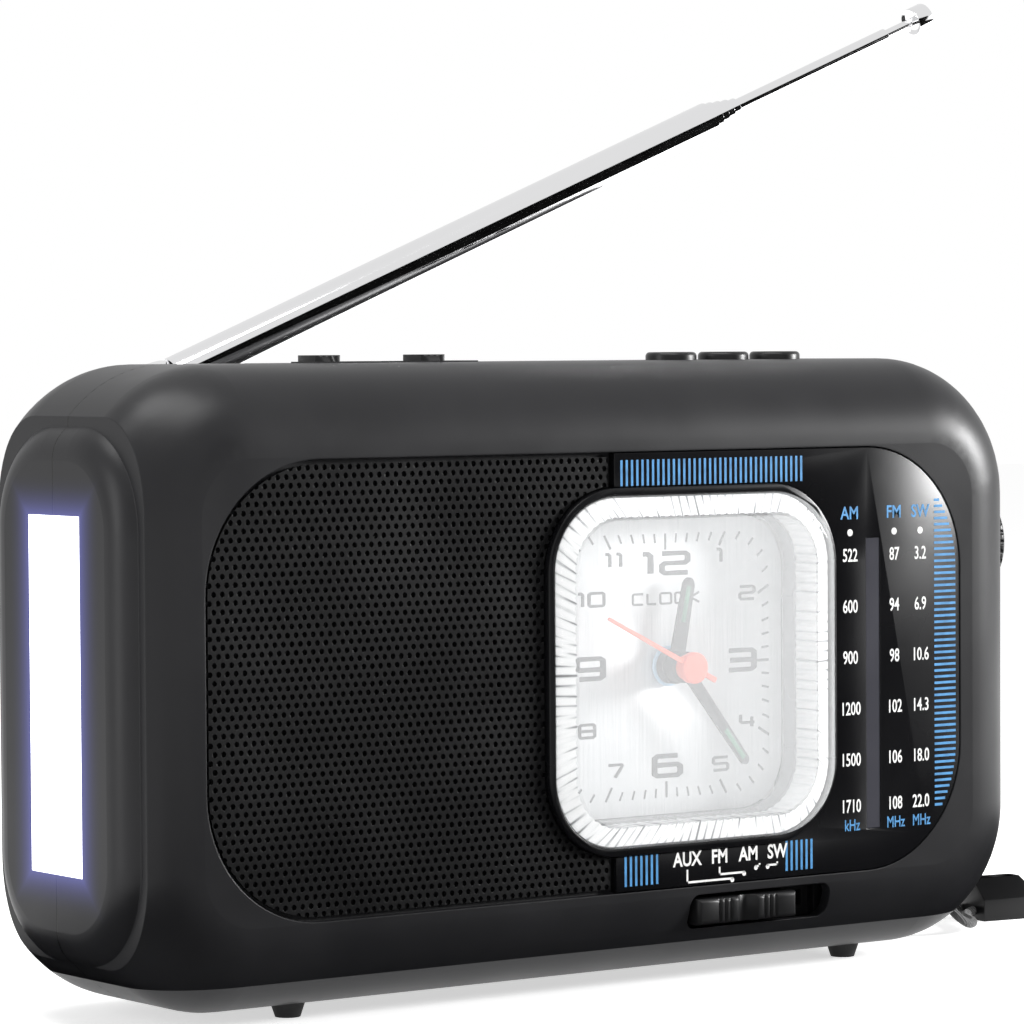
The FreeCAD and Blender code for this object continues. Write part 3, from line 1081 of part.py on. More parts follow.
def strap_route(side):
    """The points of the front (-1) or back (+1) leg of the strap, from the eye to the tab, in the part's frame."""
    x = value("case_x")
    y = value("case_y")
    eye = (value("eye_x") + x + 0.5, value("eye_depth") + y + side * (value("eye_thick") / 2 + 0.1),
           value("eye_level") - 1.5)
    turn = math.radians(value("tab_turn"))
    spread = side * 2.6
    end = (value("tab_x") + x - 0.3 - spread * math.sin(turn), value("tab_depth") + y + spread * math.cos(turn), 2.2)
    if side < 0:
        between = [(eye[0] + 0.3, eye[1] - 5.0, eye[2] - 1.0), (eye[0] - 0.2, eye[1] - 10.0, 12.0),
                   (eye[0] + 1.6, eye[1] - 14.0, 5.5), (eye[0] + 7.5, eye[1] - 13.0, 2.0),
                   (eye[0] + 14.0, eye[1] - 8.0, 1.7), (end[0] - 6.0, end[1] - 2.6, 1.9)]
    else:
        between = [(eye[0] + 0.8, eye[1] + 4.5, eye[2] - 1.5), (eye[0] + 3.5, eye[1] + 8.5, 12.5),
                   (eye[0] + 9.0, eye[1] + 9.5, 6.5), (end[0] - 6.5, end[1] + 1.8, 2.6)]
    return [eye] + between + [end]


def rounded_path(points):
    """Straight runs joined by arcs as large as the runs allow, and the radii of the arcs."""
    points = [vector(*point) for point in points]
    edges = []
    radii = []
    last = points[0]
    for before, corner, after in zip(points, points[1:], points[2:]):
        back = before - corner
        ahead = after - corner
        cut = 0.45 * min(back.Length, ahead.Length)
        turn = math.pi - back.getAngle(ahead)
        radii.append(cut / math.tan(turn / 2))
        start = corner + back.normalize() * cut
        end = corner + ahead.normalize() * cut
        middle = (back + ahead).normalize()
        centre = corner + middle * (cut / math.tan(turn / 2) / math.cos(turn / 2))
        top = centre - middle * radii[-1]
        edges.append(Part.LineSegment(last, start).toShape())
        edges.append(Part.Arc(start, top, end).toShape())
        last = end
    edges.append(Part.LineSegment(last, points[-1]).toShape())
    return Part.Wire(edges), radii


def strap():
    """Two legs of round cord from the eye to the flat tab that lies beside the radio."""
    for name, side in (("strap_leg_front", -1), ("strap_leg_back", 1)):
        path, radii = rounded_path(strap_route(side))
        start = path.Edges[0]
        ring = Part.Wire([Part.Circle(start.valueAt(start.FirstParameter), start.tangentAt(start.FirstParameter),
                                      value("cord_radius")).toShape()])
        leg = DOC.addObject("Part::Feature", name)
        leg.Shape = path.makePipeShell([ring], True, False)
        expected = math.pi * value("cord_radius") ** 2 * path.Length
        print(f"{name}: length {path.Length:.1f} mm, radii {[round(radius, 1) for radius in radii]}, "
              f"volume ratio {leg.Shape.Volume / expected:.3f}")
        keep(leg, name)
    tab = new_body("strap_tab", TOP, "tab_x", "tab_depth", "0")
    tab.Placement.Rotation = FreeCAD.Rotation(vector(0, 0, 1), value("tab_turn"))
    sketch = rectangle(tab, "0", "tab_length", "-tab_width / 2", "tab_width / 2")
    feature = pad(tab, sketch, "tab_thick")
    length = value("tab_length")
    feature = soften(tab, feature, lambda edge: upright(edge) and edge.BoundBox.XMin > length / 2,
                     "tab_width * 0.42")
    root = flat_at(value("tab_thick"))
    feature = soften(tab, feature, lambda edge: root(edge) and edge.BoundBox.XMax > length - 1, "tab_slope",
                     "Chamfer")
    pocket(tab, rectangle(tab, "tab_length * 0.35", "tab_length * 0.7", "-tab_width / 8", "tab_width / 8",
                          "tab_thick"), "tab_slope / 2")
    keep(tab, "strap_tab")


def check_and_export():
    """Stop on any failed object or bad solid, then write one STEP file per sub-part."""
    DOC.recompute()
    for item in DOC.Objects:
        if any(word in item.State for word in ("Invalid", "Error")):
            raise ValueError(f"{item.Label} failed: {item.State}")
    for item in SUBPARTS:
        if item.Shape.isNull() or not item.Shape.isValid() or not item.Shape.Solids:
            raise ValueError(f"{item.Label} has no valid solid")
    os.makedirs("parts", exist_ok=True)
    for item in SUBPARTS:
        item.Shape.exportStep(f"parts/{item.Label}.step")
        box = item.Shape.BoundBox
        print(f"{item.Label:18s} solids {len(item.Shape.Solids):2d}  volume {item.Shape.Volume:10.1f}  "
              f"x {box.XMin:7.1f} {box.XMax:7.1f}  y {box.YMin:6.1f} {box.YMax:6.1f}  "
              f"z {box.ZMin:6.1f} {box.ZMax:6.1f}")
    print(len(SUBPARTS), "sub-parts")


front_shell()
rear_shell()
battery_door()
case_screws()
feet()
lamp()
front_plates()
speaker()
clock_housing()
hands()
set_knobs()
tuning()
side_controls()
band_switch()
top_switches()
buttons()
cells()
inside()
antenna_mount()
antenna_sections()
strap()
check_and_export()
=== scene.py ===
"""The looks of a portable table radio with a clock, a side lamp and a telescopic antenna."""

import logging
import math
from collections.abc import Callable, Iterable, Sequence
from dataclasses import dataclass, field
from enum import Enum

import bpy
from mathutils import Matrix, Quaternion, Vector


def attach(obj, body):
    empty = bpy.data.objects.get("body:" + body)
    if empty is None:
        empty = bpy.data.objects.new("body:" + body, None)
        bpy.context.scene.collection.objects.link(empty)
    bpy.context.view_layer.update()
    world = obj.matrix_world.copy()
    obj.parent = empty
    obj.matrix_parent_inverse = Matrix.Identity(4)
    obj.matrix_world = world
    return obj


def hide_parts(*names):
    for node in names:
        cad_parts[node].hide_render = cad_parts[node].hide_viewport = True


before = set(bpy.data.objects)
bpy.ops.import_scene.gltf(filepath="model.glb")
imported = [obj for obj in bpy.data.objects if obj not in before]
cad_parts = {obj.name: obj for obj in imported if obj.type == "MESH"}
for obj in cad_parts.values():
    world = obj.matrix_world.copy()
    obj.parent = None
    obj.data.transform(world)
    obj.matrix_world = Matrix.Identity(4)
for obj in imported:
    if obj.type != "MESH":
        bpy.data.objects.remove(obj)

LOG = logging.getLogger("radio")
MM = 0.001

# The middle of the case and its flat front, in the row frame, in millimetres.
CASE_X = -11.3656
FRONT_Y = -30.0
CASE_DEPTH = 64.0
PARTING = CASE_DEPTH / 2

# The line between the halves of the case, and the lamp's window in the left end with the glow painted round
# it.
PARTING_HALF_WIDTH = 0.26
WINDOW_LEVEL = 66.6
WINDOW_HALF_DEPTH = 10.0
WINDOW_HALF_HEIGHT = 35.6
# How far the painted glow round the lamp's window reaches, in millimetres, and how bright it is.
PAINTED_GLOW_REACH = 9.0
PAINTED_GLOW_STRENGTH = 0.30
LEFT_END = -105.0

RIB_ATTRIBUTE = "rib"


def place(across: float, depth: float, level: float) -> Vector:
    """Turns a place on the case into a point of the row frame.

    Args:
        across: Millimetres to the right of the middle of the case.
        depth: Millimetres behind the flat front.
        level: Millimetres above the feet.

    Returns:
        The point in metres.
    """
    return Vector((across + CASE_X, depth + FRONT_Y, level)) * MM


# ---- Modelling ---------------------------------------------------------------------------------------------


def deselect() -> None:
    """Leaves nothing selected and nothing active."""
    for item in bpy.context.selected_objects:
        item.select_set(False)
    bpy.context.view_layer.objects.active = None


def choose(*items: bpy.types.Object) -> None:
    """Selects these objects alone; the first is active."""
    deselect()
    for item in items:
        item.select_set(True)
    bpy.context.view_layer.objects.active = items[0]


def settle(item: bpy.types.Object, name: str) -> bpy.types.Object:
    """Names an object and moves its place into its mesh.

    Args:
        item: The object to finish.
        name: Its new name.

    Returns:
        The same object, at the origin.
    """
    item.name = name
    item.data.name = name
    choose(item)
    bpy.ops.object.transform_apply(location=True, rotation=True, scale=True)
    return item


def add_box(name: str, low: Vector, high: Vector) -> bpy.types.Object:
    """Adds a box between two corners.

    Args:
        name: The box's name.
        low: Its lowest corner, in metres.
        high: Its highest corner.

    Returns:
        The box, with its place in its mesh.
    """
    deselect()
    bpy.ops.mesh.primitive_cube_add(size=1, location=(low + high) / 2, scale=high - low)
    return settle(bpy.context.object, name)


def add_bar(name: str, start: Vector, end: Vector, radius: float, sides: int = 48) -> bpy.types.Object:
    """Adds a round bar between two points.

    Args:
        name: The bar's name.
        start: The middle of one end, in metres.
        end: The middle of the other.
        radius: The bar's radius, in metres.
        sides: How many flats go round it.

    Returns:
        The bar, with its place in its mesh.
    """
    deselect()
    along = end - start
    bpy.ops.mesh.primitive_cylinder_add(
        vertices=sides, radius=radius, depth=along.length, location=(start + end) / 2,
        rotation=along.to_track_quat("Z", "Y").to_euler())
    return settle(bpy.context.object, name)


def add_round_curve(name: str, kind: str, points: Sequence[Sequence[float]], radius: float,
                    resolution: int) -> bpy.types.Object:
    """Adds a curve of one spline with a round section.

    Args:
        name: The curve's name.
        kind: The spline's type.
        points: The points that it follows, in metres.
        radius: The radius of its section, in metres.
        resolution: How finely the section is rounded.

    Returns:
        The curve, with capped ends.
    """
    curve = bpy.data.curves.new(name, "CURVE")
    curve.dimensions = "3D"
    curve.bevel_depth = radius
    curve.bevel_resolution = resolution
    curve.use_fill_caps = True
    spline = curve.splines.new(kind)
    spline.points.add(len(points) - 1)
    for point, spot in zip(spline.points, points):
        point.co = (*spot, 1.0)
    item = bpy.data.objects.new(name, curve)
    bpy.context.scene.collection.objects.link(item)
    return item


def edit(item: bpy.types.Object, edges: Callable[[Vector, Vector], bool] | None = None,
         faces: Callable[[Vector, Vector], bool] | None = None) -> None:
    """Opens an object in edit mode with some of its edges or faces selected.

    Args:
        item: The object.
        edges: Picks an edge by its two ends.
        faces: Picks a face by its middle and its normal.
    """
    choose(item)
    mesh = item.data
    for group in (mesh.vertices, mesh.edges, mesh.polygons):
        for part in group:
            part.select = False
    if edges:
        for part in mesh.edges:
            ends = [mesh.vertices[index].co for index in part.vertices]
            part.select = edges(*ends)
        bpy.context.tool_settings.mesh_select_mode = (False, True, False)
    if faces:
        for part in mesh.polygons:
            part.select = faces(part.center, part.normal)
        bpy.context.tool_settings.mesh_select_mode = (False, False, True)
    bpy.ops.object.mode_set(mode="EDIT")


def leave_edit() -> None:
    """Goes back to object mode."""
    bpy.ops.object.mode_set(mode="OBJECT")


def bevel_edges(item: bpy.types.Object, edges: Callable[[Vector, Vector], bool], width: float,
                segments: int) -> None:
    """Rounds or bevels the edges that a test picks.

    Args:
        item: The object.
        edges: Picks an edge by its two ends.
        width: The bevel's width, in metres.
        segments: How many faces go round it.
    """
    edit(item, edges=edges)
    bpy.ops.mesh.bevel(offset=width, segments=segments, affect="EDGES")
    leave_edit()


def along_y(start: Vector, end: Vector) -> bool:
    """True for an edge that runs from the front to the back."""
    return abs(start.x - end.x) + abs(start.z - end.z) < 1e-7


def at_depth(depth: float) -> Callable[[Vector, Vector], bool]:
    """A test for the edges that lie at one depth of the case."""
    y = (depth + FRONT_Y) * MM
    return lambda start, end: abs(start.y - y) + abs(end.y - y) < 2e-6


def use_modifier(item: bpy.types.Object, kind: str, **settings: object) -> bpy.types.Object:
    """Adds a modifier and applies it.

    Args:
        item: The object.
        kind: The modifier's type.
        **settings: Its properties.

    Returns:
        The same object.
    """
    modifier = item.modifiers.new(kind.title(), kind)
    for key, setting in settings.items():
        setattr(modifier, key, setting)
    choose(item)
    bpy.ops.object.modifier_apply(modifier=modifier.name)
    return item


def cut(item: bpy.types.Object, *tools: bpy.types.Object,
        operation: str = "DIFFERENCE") -> bpy.types.Object:
    """Cuts tools out of an object, keeps what they share or adds them to it, and removes the tools."""
    for tool in tools:
        use_modifier(item, "BOOLEAN", object=tool, operation=operation, solver="EXACT")
        bpy.data.objects.remove(tool)
    return item


def break_edges(item: bpy.types.Object, width: float, segments: int = 2) -> bpy.types.Object:
    """Takes the sharpness off every edge, as a mould does."""
    use_modifier(item, "BEVEL", width=width, segments=segments, limit_method="ANGLE",
                 angle_limit=math.radians(35))
    return smooth(item)


def smooth(item: bpy.types.Object, angle: float = 35.0) -> bpy.types.Object:
    """Shades an object smooth, but for edges sharper than an angle in degrees."""
    choose(item)
    bpy.ops.object.shade_smooth_by_angle(angle=math.radians(angle))
    return item


def join(name: str, items: Sequence[bpy.types.Object]) -> bpy.types.Object:
    """Makes several meshes one object."""
    choose(*items)
    if len(items) > 1:
        bpy.ops.object.join()
    items[0].name = name
    items[0].data.name = name
    return items[0]


def repeat(item: bpy.types.Object, count: int, step: Vector) -> bpy.types.Object:
    """Repeats an object's mesh along a step."""
    return use_modifier(item, "ARRAY", count=count, use_relative_offset=False, use_constant_offset=True,
                        constant_offset_displace=step)


def rounded_slab(name: str, middle: tuple[float, float], size: tuple[float, float], corner: float,
                 front: float, back: float, segments: int = 16) -> bpy.types.Object:
    """Makes a flat slab with round corners, seen from the front of the radio.

    Args:
        name: The slab's name.
        middle: Its middle as (across, level), in millimetres.
        size: Its width and height, in millimetres.
        corner: The radius of its corners, in millimetres.
        front: The depth of its front face, in millimetres.
        back: The depth of its back face.
        segments: How many faces go round a corner.

    Returns:
        The slab.
    """
    (across, level), (width, height) = middle, size
    slab = add_box(name, place(across - width / 2, front, level - height / 2),
                   place(across + width / 2, back, level + height / 2))
    bevel_edges(slab, along_y, corner * MM, segments)
    return slab


def finish_piece(item: bpy.types.Object, body: str, finish: "Finish",
                 stands_for: Sequence[str] = ()) -> bpy.types.Object:
    """Dresses a piece, lets it ride on its body and reports it.

    Args:
        item: The piece.
        body: The CAD body that it moves with.
        finish: What it is made of.
        stands_for: The CAD nodes that it replaces.

    Returns:
        The piece.
    """
    item.data.materials.clear()
    item.data.materials.append(finish.material())
    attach(item, body)
    if stands_for:
        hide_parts(*stands_for)
    LOG.info("%s rides on %s", item.name, body)
    return item


# ---- Finishes ----------------------------------------------------------------------------------------------

Socket = bpy.types.NodeSocket


def linear(colour: str) -> tuple[float, float, float, float]:
    """Turns an sRGB hex colour into linear red, green, blue and alpha."""
    parts = [int(colour[start:start + 2], 16) / 255 for start in (1, 3, 5)]
    red, green, blue = (part / 12.92 if part <= 0.04045 else ((part + 0.055) / 1.055) ** 2.4
                        for part in parts)
    return red, green, blue, 1.0


def add_node(tree: bpy.types.NodeTree, kind: str, settings: dict | None = None,
             links: dict | None = None) -> bpy.types.Node:
    """Adds a node with its settings and links.

    Args:
        tree: The material's node tree.
        kind: The node's type, without its "ShaderNode" start.
        settings: Properties by name, and values of inputs by name or number.
        links: The socket that feeds each input, by the input's name or number.

    Returns:
        The new node.
    """
    node = tree.nodes.new("ShaderNode" + kind)
    for key, setting in (settings or {}).items():
        if isinstance(key, str) and key in node.bl_rna.properties:
            setattr(node, key, setting)
        else:
            node.inputs[key].default_value = setting
    for key, source in (links or {}).items():
        tree.links.new(source, node.inputs[key])
    return node


def fresh_tree(name: str) -> bpy.types.NodeTree:
    """Makes an empty material and returns its node tree."""
    made = bpy.data.materials.new(name)
    made.use_nodes = True
    made.node_tree.nodes.clear()
    return made.node_tree


def ramp(tree: bpy.types.NodeTree, source: Socket, stops: Iterable[tuple[float, str]]) -> Socket:
    """Turns a number from 0 to 1 into a colour.

    Args:
        tree: The node tree.
        source: The number.
        stops: Each place from 0 to 1 with its sRGB hex colour.

    Returns:
        The colour.
    """
    node = add_node(tree, "ValToRGB", links={"Fac": source})
    elements = node.color_ramp.elements
    for number, (position, colour) in enumerate(stops):
        element = elements[number] if number < 2 else elements.new(position)
        element.position = position
        element.color = linear(colour)
    return node.outputs["Color"]


@dataclass(frozen=True)
class Finish:
    """What a surface is made of and how it was made."""

    name: str

    def material(self) -> bpy.types.Material:
        """The material, made once."""
        found = bpy.data.materials.get(self.name)
        if found:
            return found
        tree = fresh_tree(self.name)
        surface = self.surface(tree)
        add_node(tree, "OutputMaterial", links={"Surface": surface})
        return bpy.data.materials[self.name]

    def surface(self, tree: bpy.types.NodeTree) -> Socket:
        """Builds the nodes and returns the shader."""
        raise NotImplementedError


@dataclass(frozen=True)
class Moulded(Finish):
    """An injection-moulded plastic with a spark-eroded texture, and mould edges that catch the light."""

    colour: str
    worn: str
    roughness: float
    grain_mm: float = 0.35
    grain_depth: float = 0.12
    edge_mm: float = 0.35
    mirror: float = 0.3
    parting_line: bool = False
    # The colour of a glow painted round the lamp's window, as emission; empty for none.
    painted_glow: str = ""

    def surface(self, tree: bpy.types.NodeTree) -> Socket:
        """Plastic whose sheen varies a little, with a fine grain over softened edges."""
        where = add_node(tree, "TexCoord").outputs["Object"]
        cloud = add_node(tree, "TexNoise", {"Scale": 1 / (22 * MM), "Detail": 3.0}, {"Vector": where})
        colour = ramp(tree, cloud.outputs["Fac"], [(0.35, self.colour), (0.75, self.worn)])
        sheen = add_node(tree, "MapRange", {"From Min": 0.3, "From Max": 0.7, "To Min": self.roughness - 0.03,
                                            "To Max": self.roughness + 0.03}, {"Value": cloud.outputs["Fac"]})
        grain = add_node(tree, "TexNoise", {"Scale": 1 / (self.grain_mm * MM), "Detail": 2.0},
                         {"Vector": where})
        edges = add_node(tree, "Bevel", {"samples": 6, "Radius": self.edge_mm * MM})
        bump = add_node(tree, "Bump", {"Strength": self.grain_depth, "Distance": 0.05 * MM},
                        {"Height": grain.outputs["Fac"], "Normal": edges.outputs["Normal"]})
        if self.parting_line:
            colour = self.add_parting(tree, where, colour)
        plastic = add_node(tree, "BsdfPrincipled", {"IOR": 1.53, "Specular IOR Level": self.mirror},
                           {"Base Color": colour, "Roughness": sheen.outputs["Result"],
                            "Normal": bump.outputs["Normal"]})
        # Painted light: the plastic itself glows round the lamp's window.
        if self.painted_glow:
            self.add_painted_glow(tree, where, plastic)
        return plastic.outputs["BSDF"]

    def add_parting(self, tree: bpy.types.NodeTree, where: Socket, colour: Socket) -> Socket:
        """Darkens the thin line where the two halves of the case meet."""
        depth = add_node(tree, "SeparateXYZ", links={"Vector": where}).outputs["Y"]
        away = add_node(tree, "Math", {"operation": "SUBTRACT", 1: (PARTING + FRONT_Y) * MM}, {0: depth})
        far = add_node(tree, "Math", {"operation": "ABSOLUTE"}, {0: away.outputs[0]})
        line = add_node(tree, "Math", {"operation": "LESS_THAN", 1: PARTING_HALF_WIDTH * MM},
                        {0: far.outputs[0]})
        mixed = add_node(tree, "Mix", {"data_type": "RGBA", 7: linear("#020202")},
                         {0: line.outputs[0], 6: colour})
        return mixed.outputs[2]

    def add_painted_glow(self, tree: bpy.types.NodeTree, where: Socket, plastic: bpy.types.Node) -> None:
        """Paints a glow a few millimetres over the pad round the lamp's window, cooler as it fades: painted
        light, as emission in the plastic.
        """
        parts = add_node(tree, "SeparateXYZ", links={"Vector": where})
        outside = []
        for axis, middle, half in (("Y", (PARTING + FRONT_Y) * MM, WINDOW_HALF_DEPTH * MM),
                                   ("Z", WINDOW_LEVEL * MM, WINDOW_HALF_HEIGHT * MM)):
            offset = add_node(tree, "Math", {"operation": "SUBTRACT", 1: middle}, {0: parts.outputs[axis]})
            size = add_node(tree, "Math", {"operation": "ABSOLUTE"}, {0: offset.outputs[0]})
            beyond = add_node(tree, "Math", {"operation": "SUBTRACT", 1: half}, {0: size.outputs[0]})
            outside.append(add_node(tree, "Math", {"operation": "MAXIMUM", 1: 0.0}, {0: beyond.outputs[0]}))
        away = add_node(tree, "Math", {"operation": "MAXIMUM"},
                        {0: outside[0].outputs[0], 1: outside[1].outputs[0]})
        fade = add_node(tree, "MapRange", {"From Min": 0.0, "From Max": PAINTED_GLOW_REACH * MM, "To Min": 1.0,
                                           "To Max": 0.0}, {"Value": away.outputs[0]})
        soft = add_node(tree, "Math", {"operation": "POWER", 1: 3.0}, {0: fade.outputs[0]})
        left = add_node(tree, "Math", {"operation": "LESS_THAN", 1: (LEFT_END + CASE_X) * MM},
                        {0: parts.outputs["X"]})
        amount = add_node(tree, "Math", {"operation": "MULTIPLY"}, {0: soft.outputs[0], 1: left.outputs[0]})
        strength = add_node(tree, "Math", {"operation": "MULTIPLY", 1: PAINTED_GLOW_STRENGTH},
                            {0: amount.outputs[0]})
        plastic.inputs["Emission Color"].default_value = linear(self.painted_glow)
        tree.links.new(strength.outputs[0], plastic.inputs["Emission Strength"])


@dataclass(frozen=True)
class Metal(Finish):
    """A bare or plated metal, polished, drawn or zinc plated."""

    colour: str
    roughness: float
    grain_mm: float = 0.5
    grain_depth: float = 0.03
    stretch: tuple[float, float, float] = (1.0, 1.0, 1.0)

    def surface(self, tree: bpy.types.NodeTree) -> Socket:
        """Metal with a faint unevenness left by drawing or plating."""
        where = add_node(tree, "TexCoord").outputs["Object"]
        stretched = add_node(tree, "Mapping", {"Scale": self.stretch}, {"Vector": where})
        grain = add_node(tree, "TexNoise", {"Scale": 1 / (self.grain_mm * MM), "Detail": 3.0},
                         {"Vector": stretched.outputs["Vector"]})
        sheen = add_node(tree, "MapRange", {"From Min": 0.3, "From Max": 0.7, "To Min": self.roughness * 0.8,
                                            "To Max": self.roughness * 1.2}, {"Value": grain.outputs["Fac"]})
        bump = add_node(tree, "Bump", {"Strength": self.grain_depth, "Distance": 0.05 * MM},
                        {"Height": grain.outputs["Fac"]})
        metal = add_node(tree, "BsdfPrincipled", {"Metallic": 1.0, "Base Color": linear(self.colour)},
                         {"Roughness": sheen.outputs["Result"], "Normal": bump.outputs["Normal"]})
        return metal.outputs["BSDF"]


@dataclass(frozen=True)
class BrushedDial(Finish):
    """Silvered aluminium, brushed from top to bottom: pale, with fine upright streaks."""

    pale: str
    dark: str

    def surface(self, tree: bpy.types.NodeTree) -> Socket:
        """Streaks 0.25 mm wide, coarser than real brushing so that they show, in colour and in bump."""
        where = add_node(tree, "TexCoord").outputs["Object"]
        streak = add_node(tree, "Mapping", {"Scale": (1.0, 1.0, 0.012)}, {"Vector": where})
        lines = add_node(tree, "TexNoise", {"Scale": 1 / (0.25 * MM), "Detail": 4.0, "Roughness": 0.7},
                         {"Vector": streak.outputs["Vector"]})
        colour = ramp(tree, lines.outputs["Fac"], [(0.3, self.dark), (0.62, self.pale)])
        bump = add_node(tree, "Bump", {"Strength": 0.2, "Distance": 0.03 * MM},
                        {"Height": lines.outputs["Fac"]})
        metal = add_node(tree, "BsdfPrincipled", {"Metallic": 0.25, "Roughness": 0.42},
                         {"Base Color": colour, "Normal": bump.outputs["Normal"]})
        return metal.outputs["BSDF"]


@dataclass(frozen=True)
class Ink(Finish):
    """Screen-printed ink: opaque, thin and a little uneven in density."""

    colour: str
    thin: str

    def surface(self, tree: bpy.types.NodeTree) -> Socket:
        """Ink whose density varies over a few millimetres."""
        where = add_node(tree, "TexCoord").outputs["Object"]
        cloud = add_node(tree, "TexNoise", {"Scale": 1 / (3 * MM), "Detail": 2.0}, {"Vector": where})
        colour = ramp(tree, cloud.outputs["Fac"], [(0.3, self.thin), (0.6, self.colour)])
        ink = add_node(tree, "BsdfPrincipled", {"Roughness": 0.45, "IOR": 1.5}, {"Base Color": colour})
        return ink.outputs["BSDF"]


@dataclass(frozen=True)
class ClearAcrylic(Finish):
    """Clear moulded acrylic: water-clear, with bright reflections, and what is inside shows through."""

    tint: str
    roughness: float = 0.015

    def surface(self, tree: bpy.types.NodeTree) -> Socket:
        """Glass to every ray but a shadow's, which a clear cover lets by."""
        where = add_node(tree, "TexCoord").outputs["Object"]
        ripple = add_node(tree, "TexNoise", {"Scale": 1 / (9 * MM), "Detail": 1.0}, {"Vector": where})
        bump = add_node(tree, "Bump", {"Strength": 0.04, "Distance": 0.2 * MM},
                        {"Height": ripple.outputs["Fac"]})
        glass = add_node(tree, "BsdfPrincipled",
                         {"Base Color": linear(self.tint), "Roughness": self.roughness, "IOR": 1.49,
                          "Transmission Weight": 1.0}, {"Normal": bump.outputs["Normal"]})
        clear = add_node(tree, "BsdfTransparent", {"Color": linear("#f4f6f8")})
        path = add_node(tree, "LightPath")
        mixed = add_node(tree, "MixShader", links={0: path.outputs["Is Shadow Ray"], 1: glass.outputs["BSDF"],
                                                   2: clear.outputs["BSDF"]})
        return mixed.outputs["Shader"]


@dataclass(frozen=True)
class RibbedAcrylicPaintedStreaks(Finish):
    """The moulded prisms in the cover's walls, with painted light and shade: white on one flank and dark on
    the other, standing in for the light that clear prisms bend.
    """

    def surface(self, tree: bpy.types.NodeTree) -> Socket:
        """Painted bright and dark streaks, in place of refracted light, that follow each prism, from the
        piece's own rib attribute.
        """
        phase = add_node(tree, "Attribute", {"attribute_name": RIB_ATTRIBUTE})
        where = add_node(tree, "TexCoord").outputs["Object"]
        cloud = add_node(tree, "TexNoise", {"Scale": 1 / (4 * MM), "Detail": 3.0}, {"Vector": where})
        shift = add_node(tree, "MapRange", {"To Min": -0.16, "To Max": 0.16}, {"Value": cloud.outputs["Fac"]})
        uneven = add_node(tree, "Math", {"operation": "ADD"},
                          {0: phase.outputs["Fac"], 1: shift.outputs["Result"]})
        # Painted refraction: dark on one flank of a prism, white on the other.
        colour = ramp(tree, uneven.outputs[0], [(0.12, "#3a3b3d"), (0.30, "#a8aaac"), (0.48, "#f4f5f5"),
                                                (0.80, "#ffffff")])
        prism = add_node(tree, "BsdfPrincipled", {"Roughness": 0.12, "IOR": 1.49, "Coat Weight": 0.5},
                         {"Base Color": colour})
        return prism.outputs["BSDF"]


@dataclass(frozen=True)
class LitDiffuser(Finish):
    """Milky acrylic lit from behind by two columns of chips: even white, cooler at its edges."""

    colour: str
    edge: str
    strength: float

    def surface(self, tree: bpy.types.NodeTree) -> Socket:
        """Light that comes through the milky sheet, with its smooth face over it."""
        where = add_node(tree, "TexCoord").outputs["Object"]
        spots = add_node(tree, "TexVoronoi", {"Scale": 1 / (6 * MM)}, {"Vector": where})
        colour = ramp(tree, spots.outputs["Distance"], [(0.1, self.colour), (0.8, self.edge)])
        milky = add_node(tree, "BsdfPrincipled", {"Roughness": 0.3, "Emission Strength": self.strength},
                         {"Base Color": colour, "Emission Color": colour})
        return milky.outputs["BSDF"]


@dataclass(frozen=True)
class Rough(Finish):
    """A matt material with a visible grain: rubber, paper pulp, ferrite, solder mask or a cell's sleeve."""

    colour: str
    dark: str
    roughness: float
    grain_mm: float
    grain_depth: float = 0.3

    def surface(self, tree: bpy.types.NodeTree) -> Socket:
        """A grained surface of two near colours."""
        where = add_node(tree, "TexCoord").outputs["Object"]
        grain = add_node(tree, "TexNoise", {"Scale": 1 / (self.grain_mm * MM), "Detail": 4.0},
                         {"Vector": where})
        colour = ramp(tree, grain.outputs["Fac"], [(0.35, self.dark), (0.65, self.colour)])
        bump = add_node(tree, "Bump", {"Strength": self.grain_depth, "Distance": 0.1 * MM},
                        {"Height": grain.outputs["Fac"]})
        matt = add_node(tree, "BsdfPrincipled", {"Roughness": self.roughness},
                        {"Base Color": colour, "Normal": bump.outputs["Normal"]})
        return matt.outputs["BSDF"]


@dataclass(frozen=True)
class Braid(Finish):
    """Braided polyester cord: short slanting picks with a soft sheen."""

    colour: str
    gap: str
    pick_mm: float

    def surface(self, tree: bpy.types.NodeTree) -> Socket:
        """Crossing picks, drawn a little coarser than real ones so that they show."""
        where = add_node(tree, "TexCoord").outputs["Object"]
        waves = []
        for lean in (0.8, -0.8):
            turned = add_node(tree, "Mapping", {"Rotation": (lean, 0.4, lean)}, {"Vector": where})
            waves.append(add_node(tree, "TexWave", {"Scale": 1 / (self.pick_mm * 3 * MM), "Distortion": 0.6},
                                  {"Vector": turned.outputs["Vector"]}).outputs["Fac"])
        weave = add_node(tree, "Math", {"operation": "MULTIPLY"}, {0: waves[0], 1: waves[1]})
        colour = ramp(tree, weave.outputs[0], [(0.05, self.gap), (0.4, self.colour)])
        bump = add_node(tree, "Bump", {"Strength": 0.6, "Distance": 0.2 * MM}, {"Height": weave.outputs[0]})
        cloth = add_node(tree, "BsdfPrincipled", {"Roughness": 0.7, "Sheen Weight": 0.4},
                         {"Base Color": colour, "Normal": bump.outputs["Normal"]})
        return cloth.outputs["BSDF"]


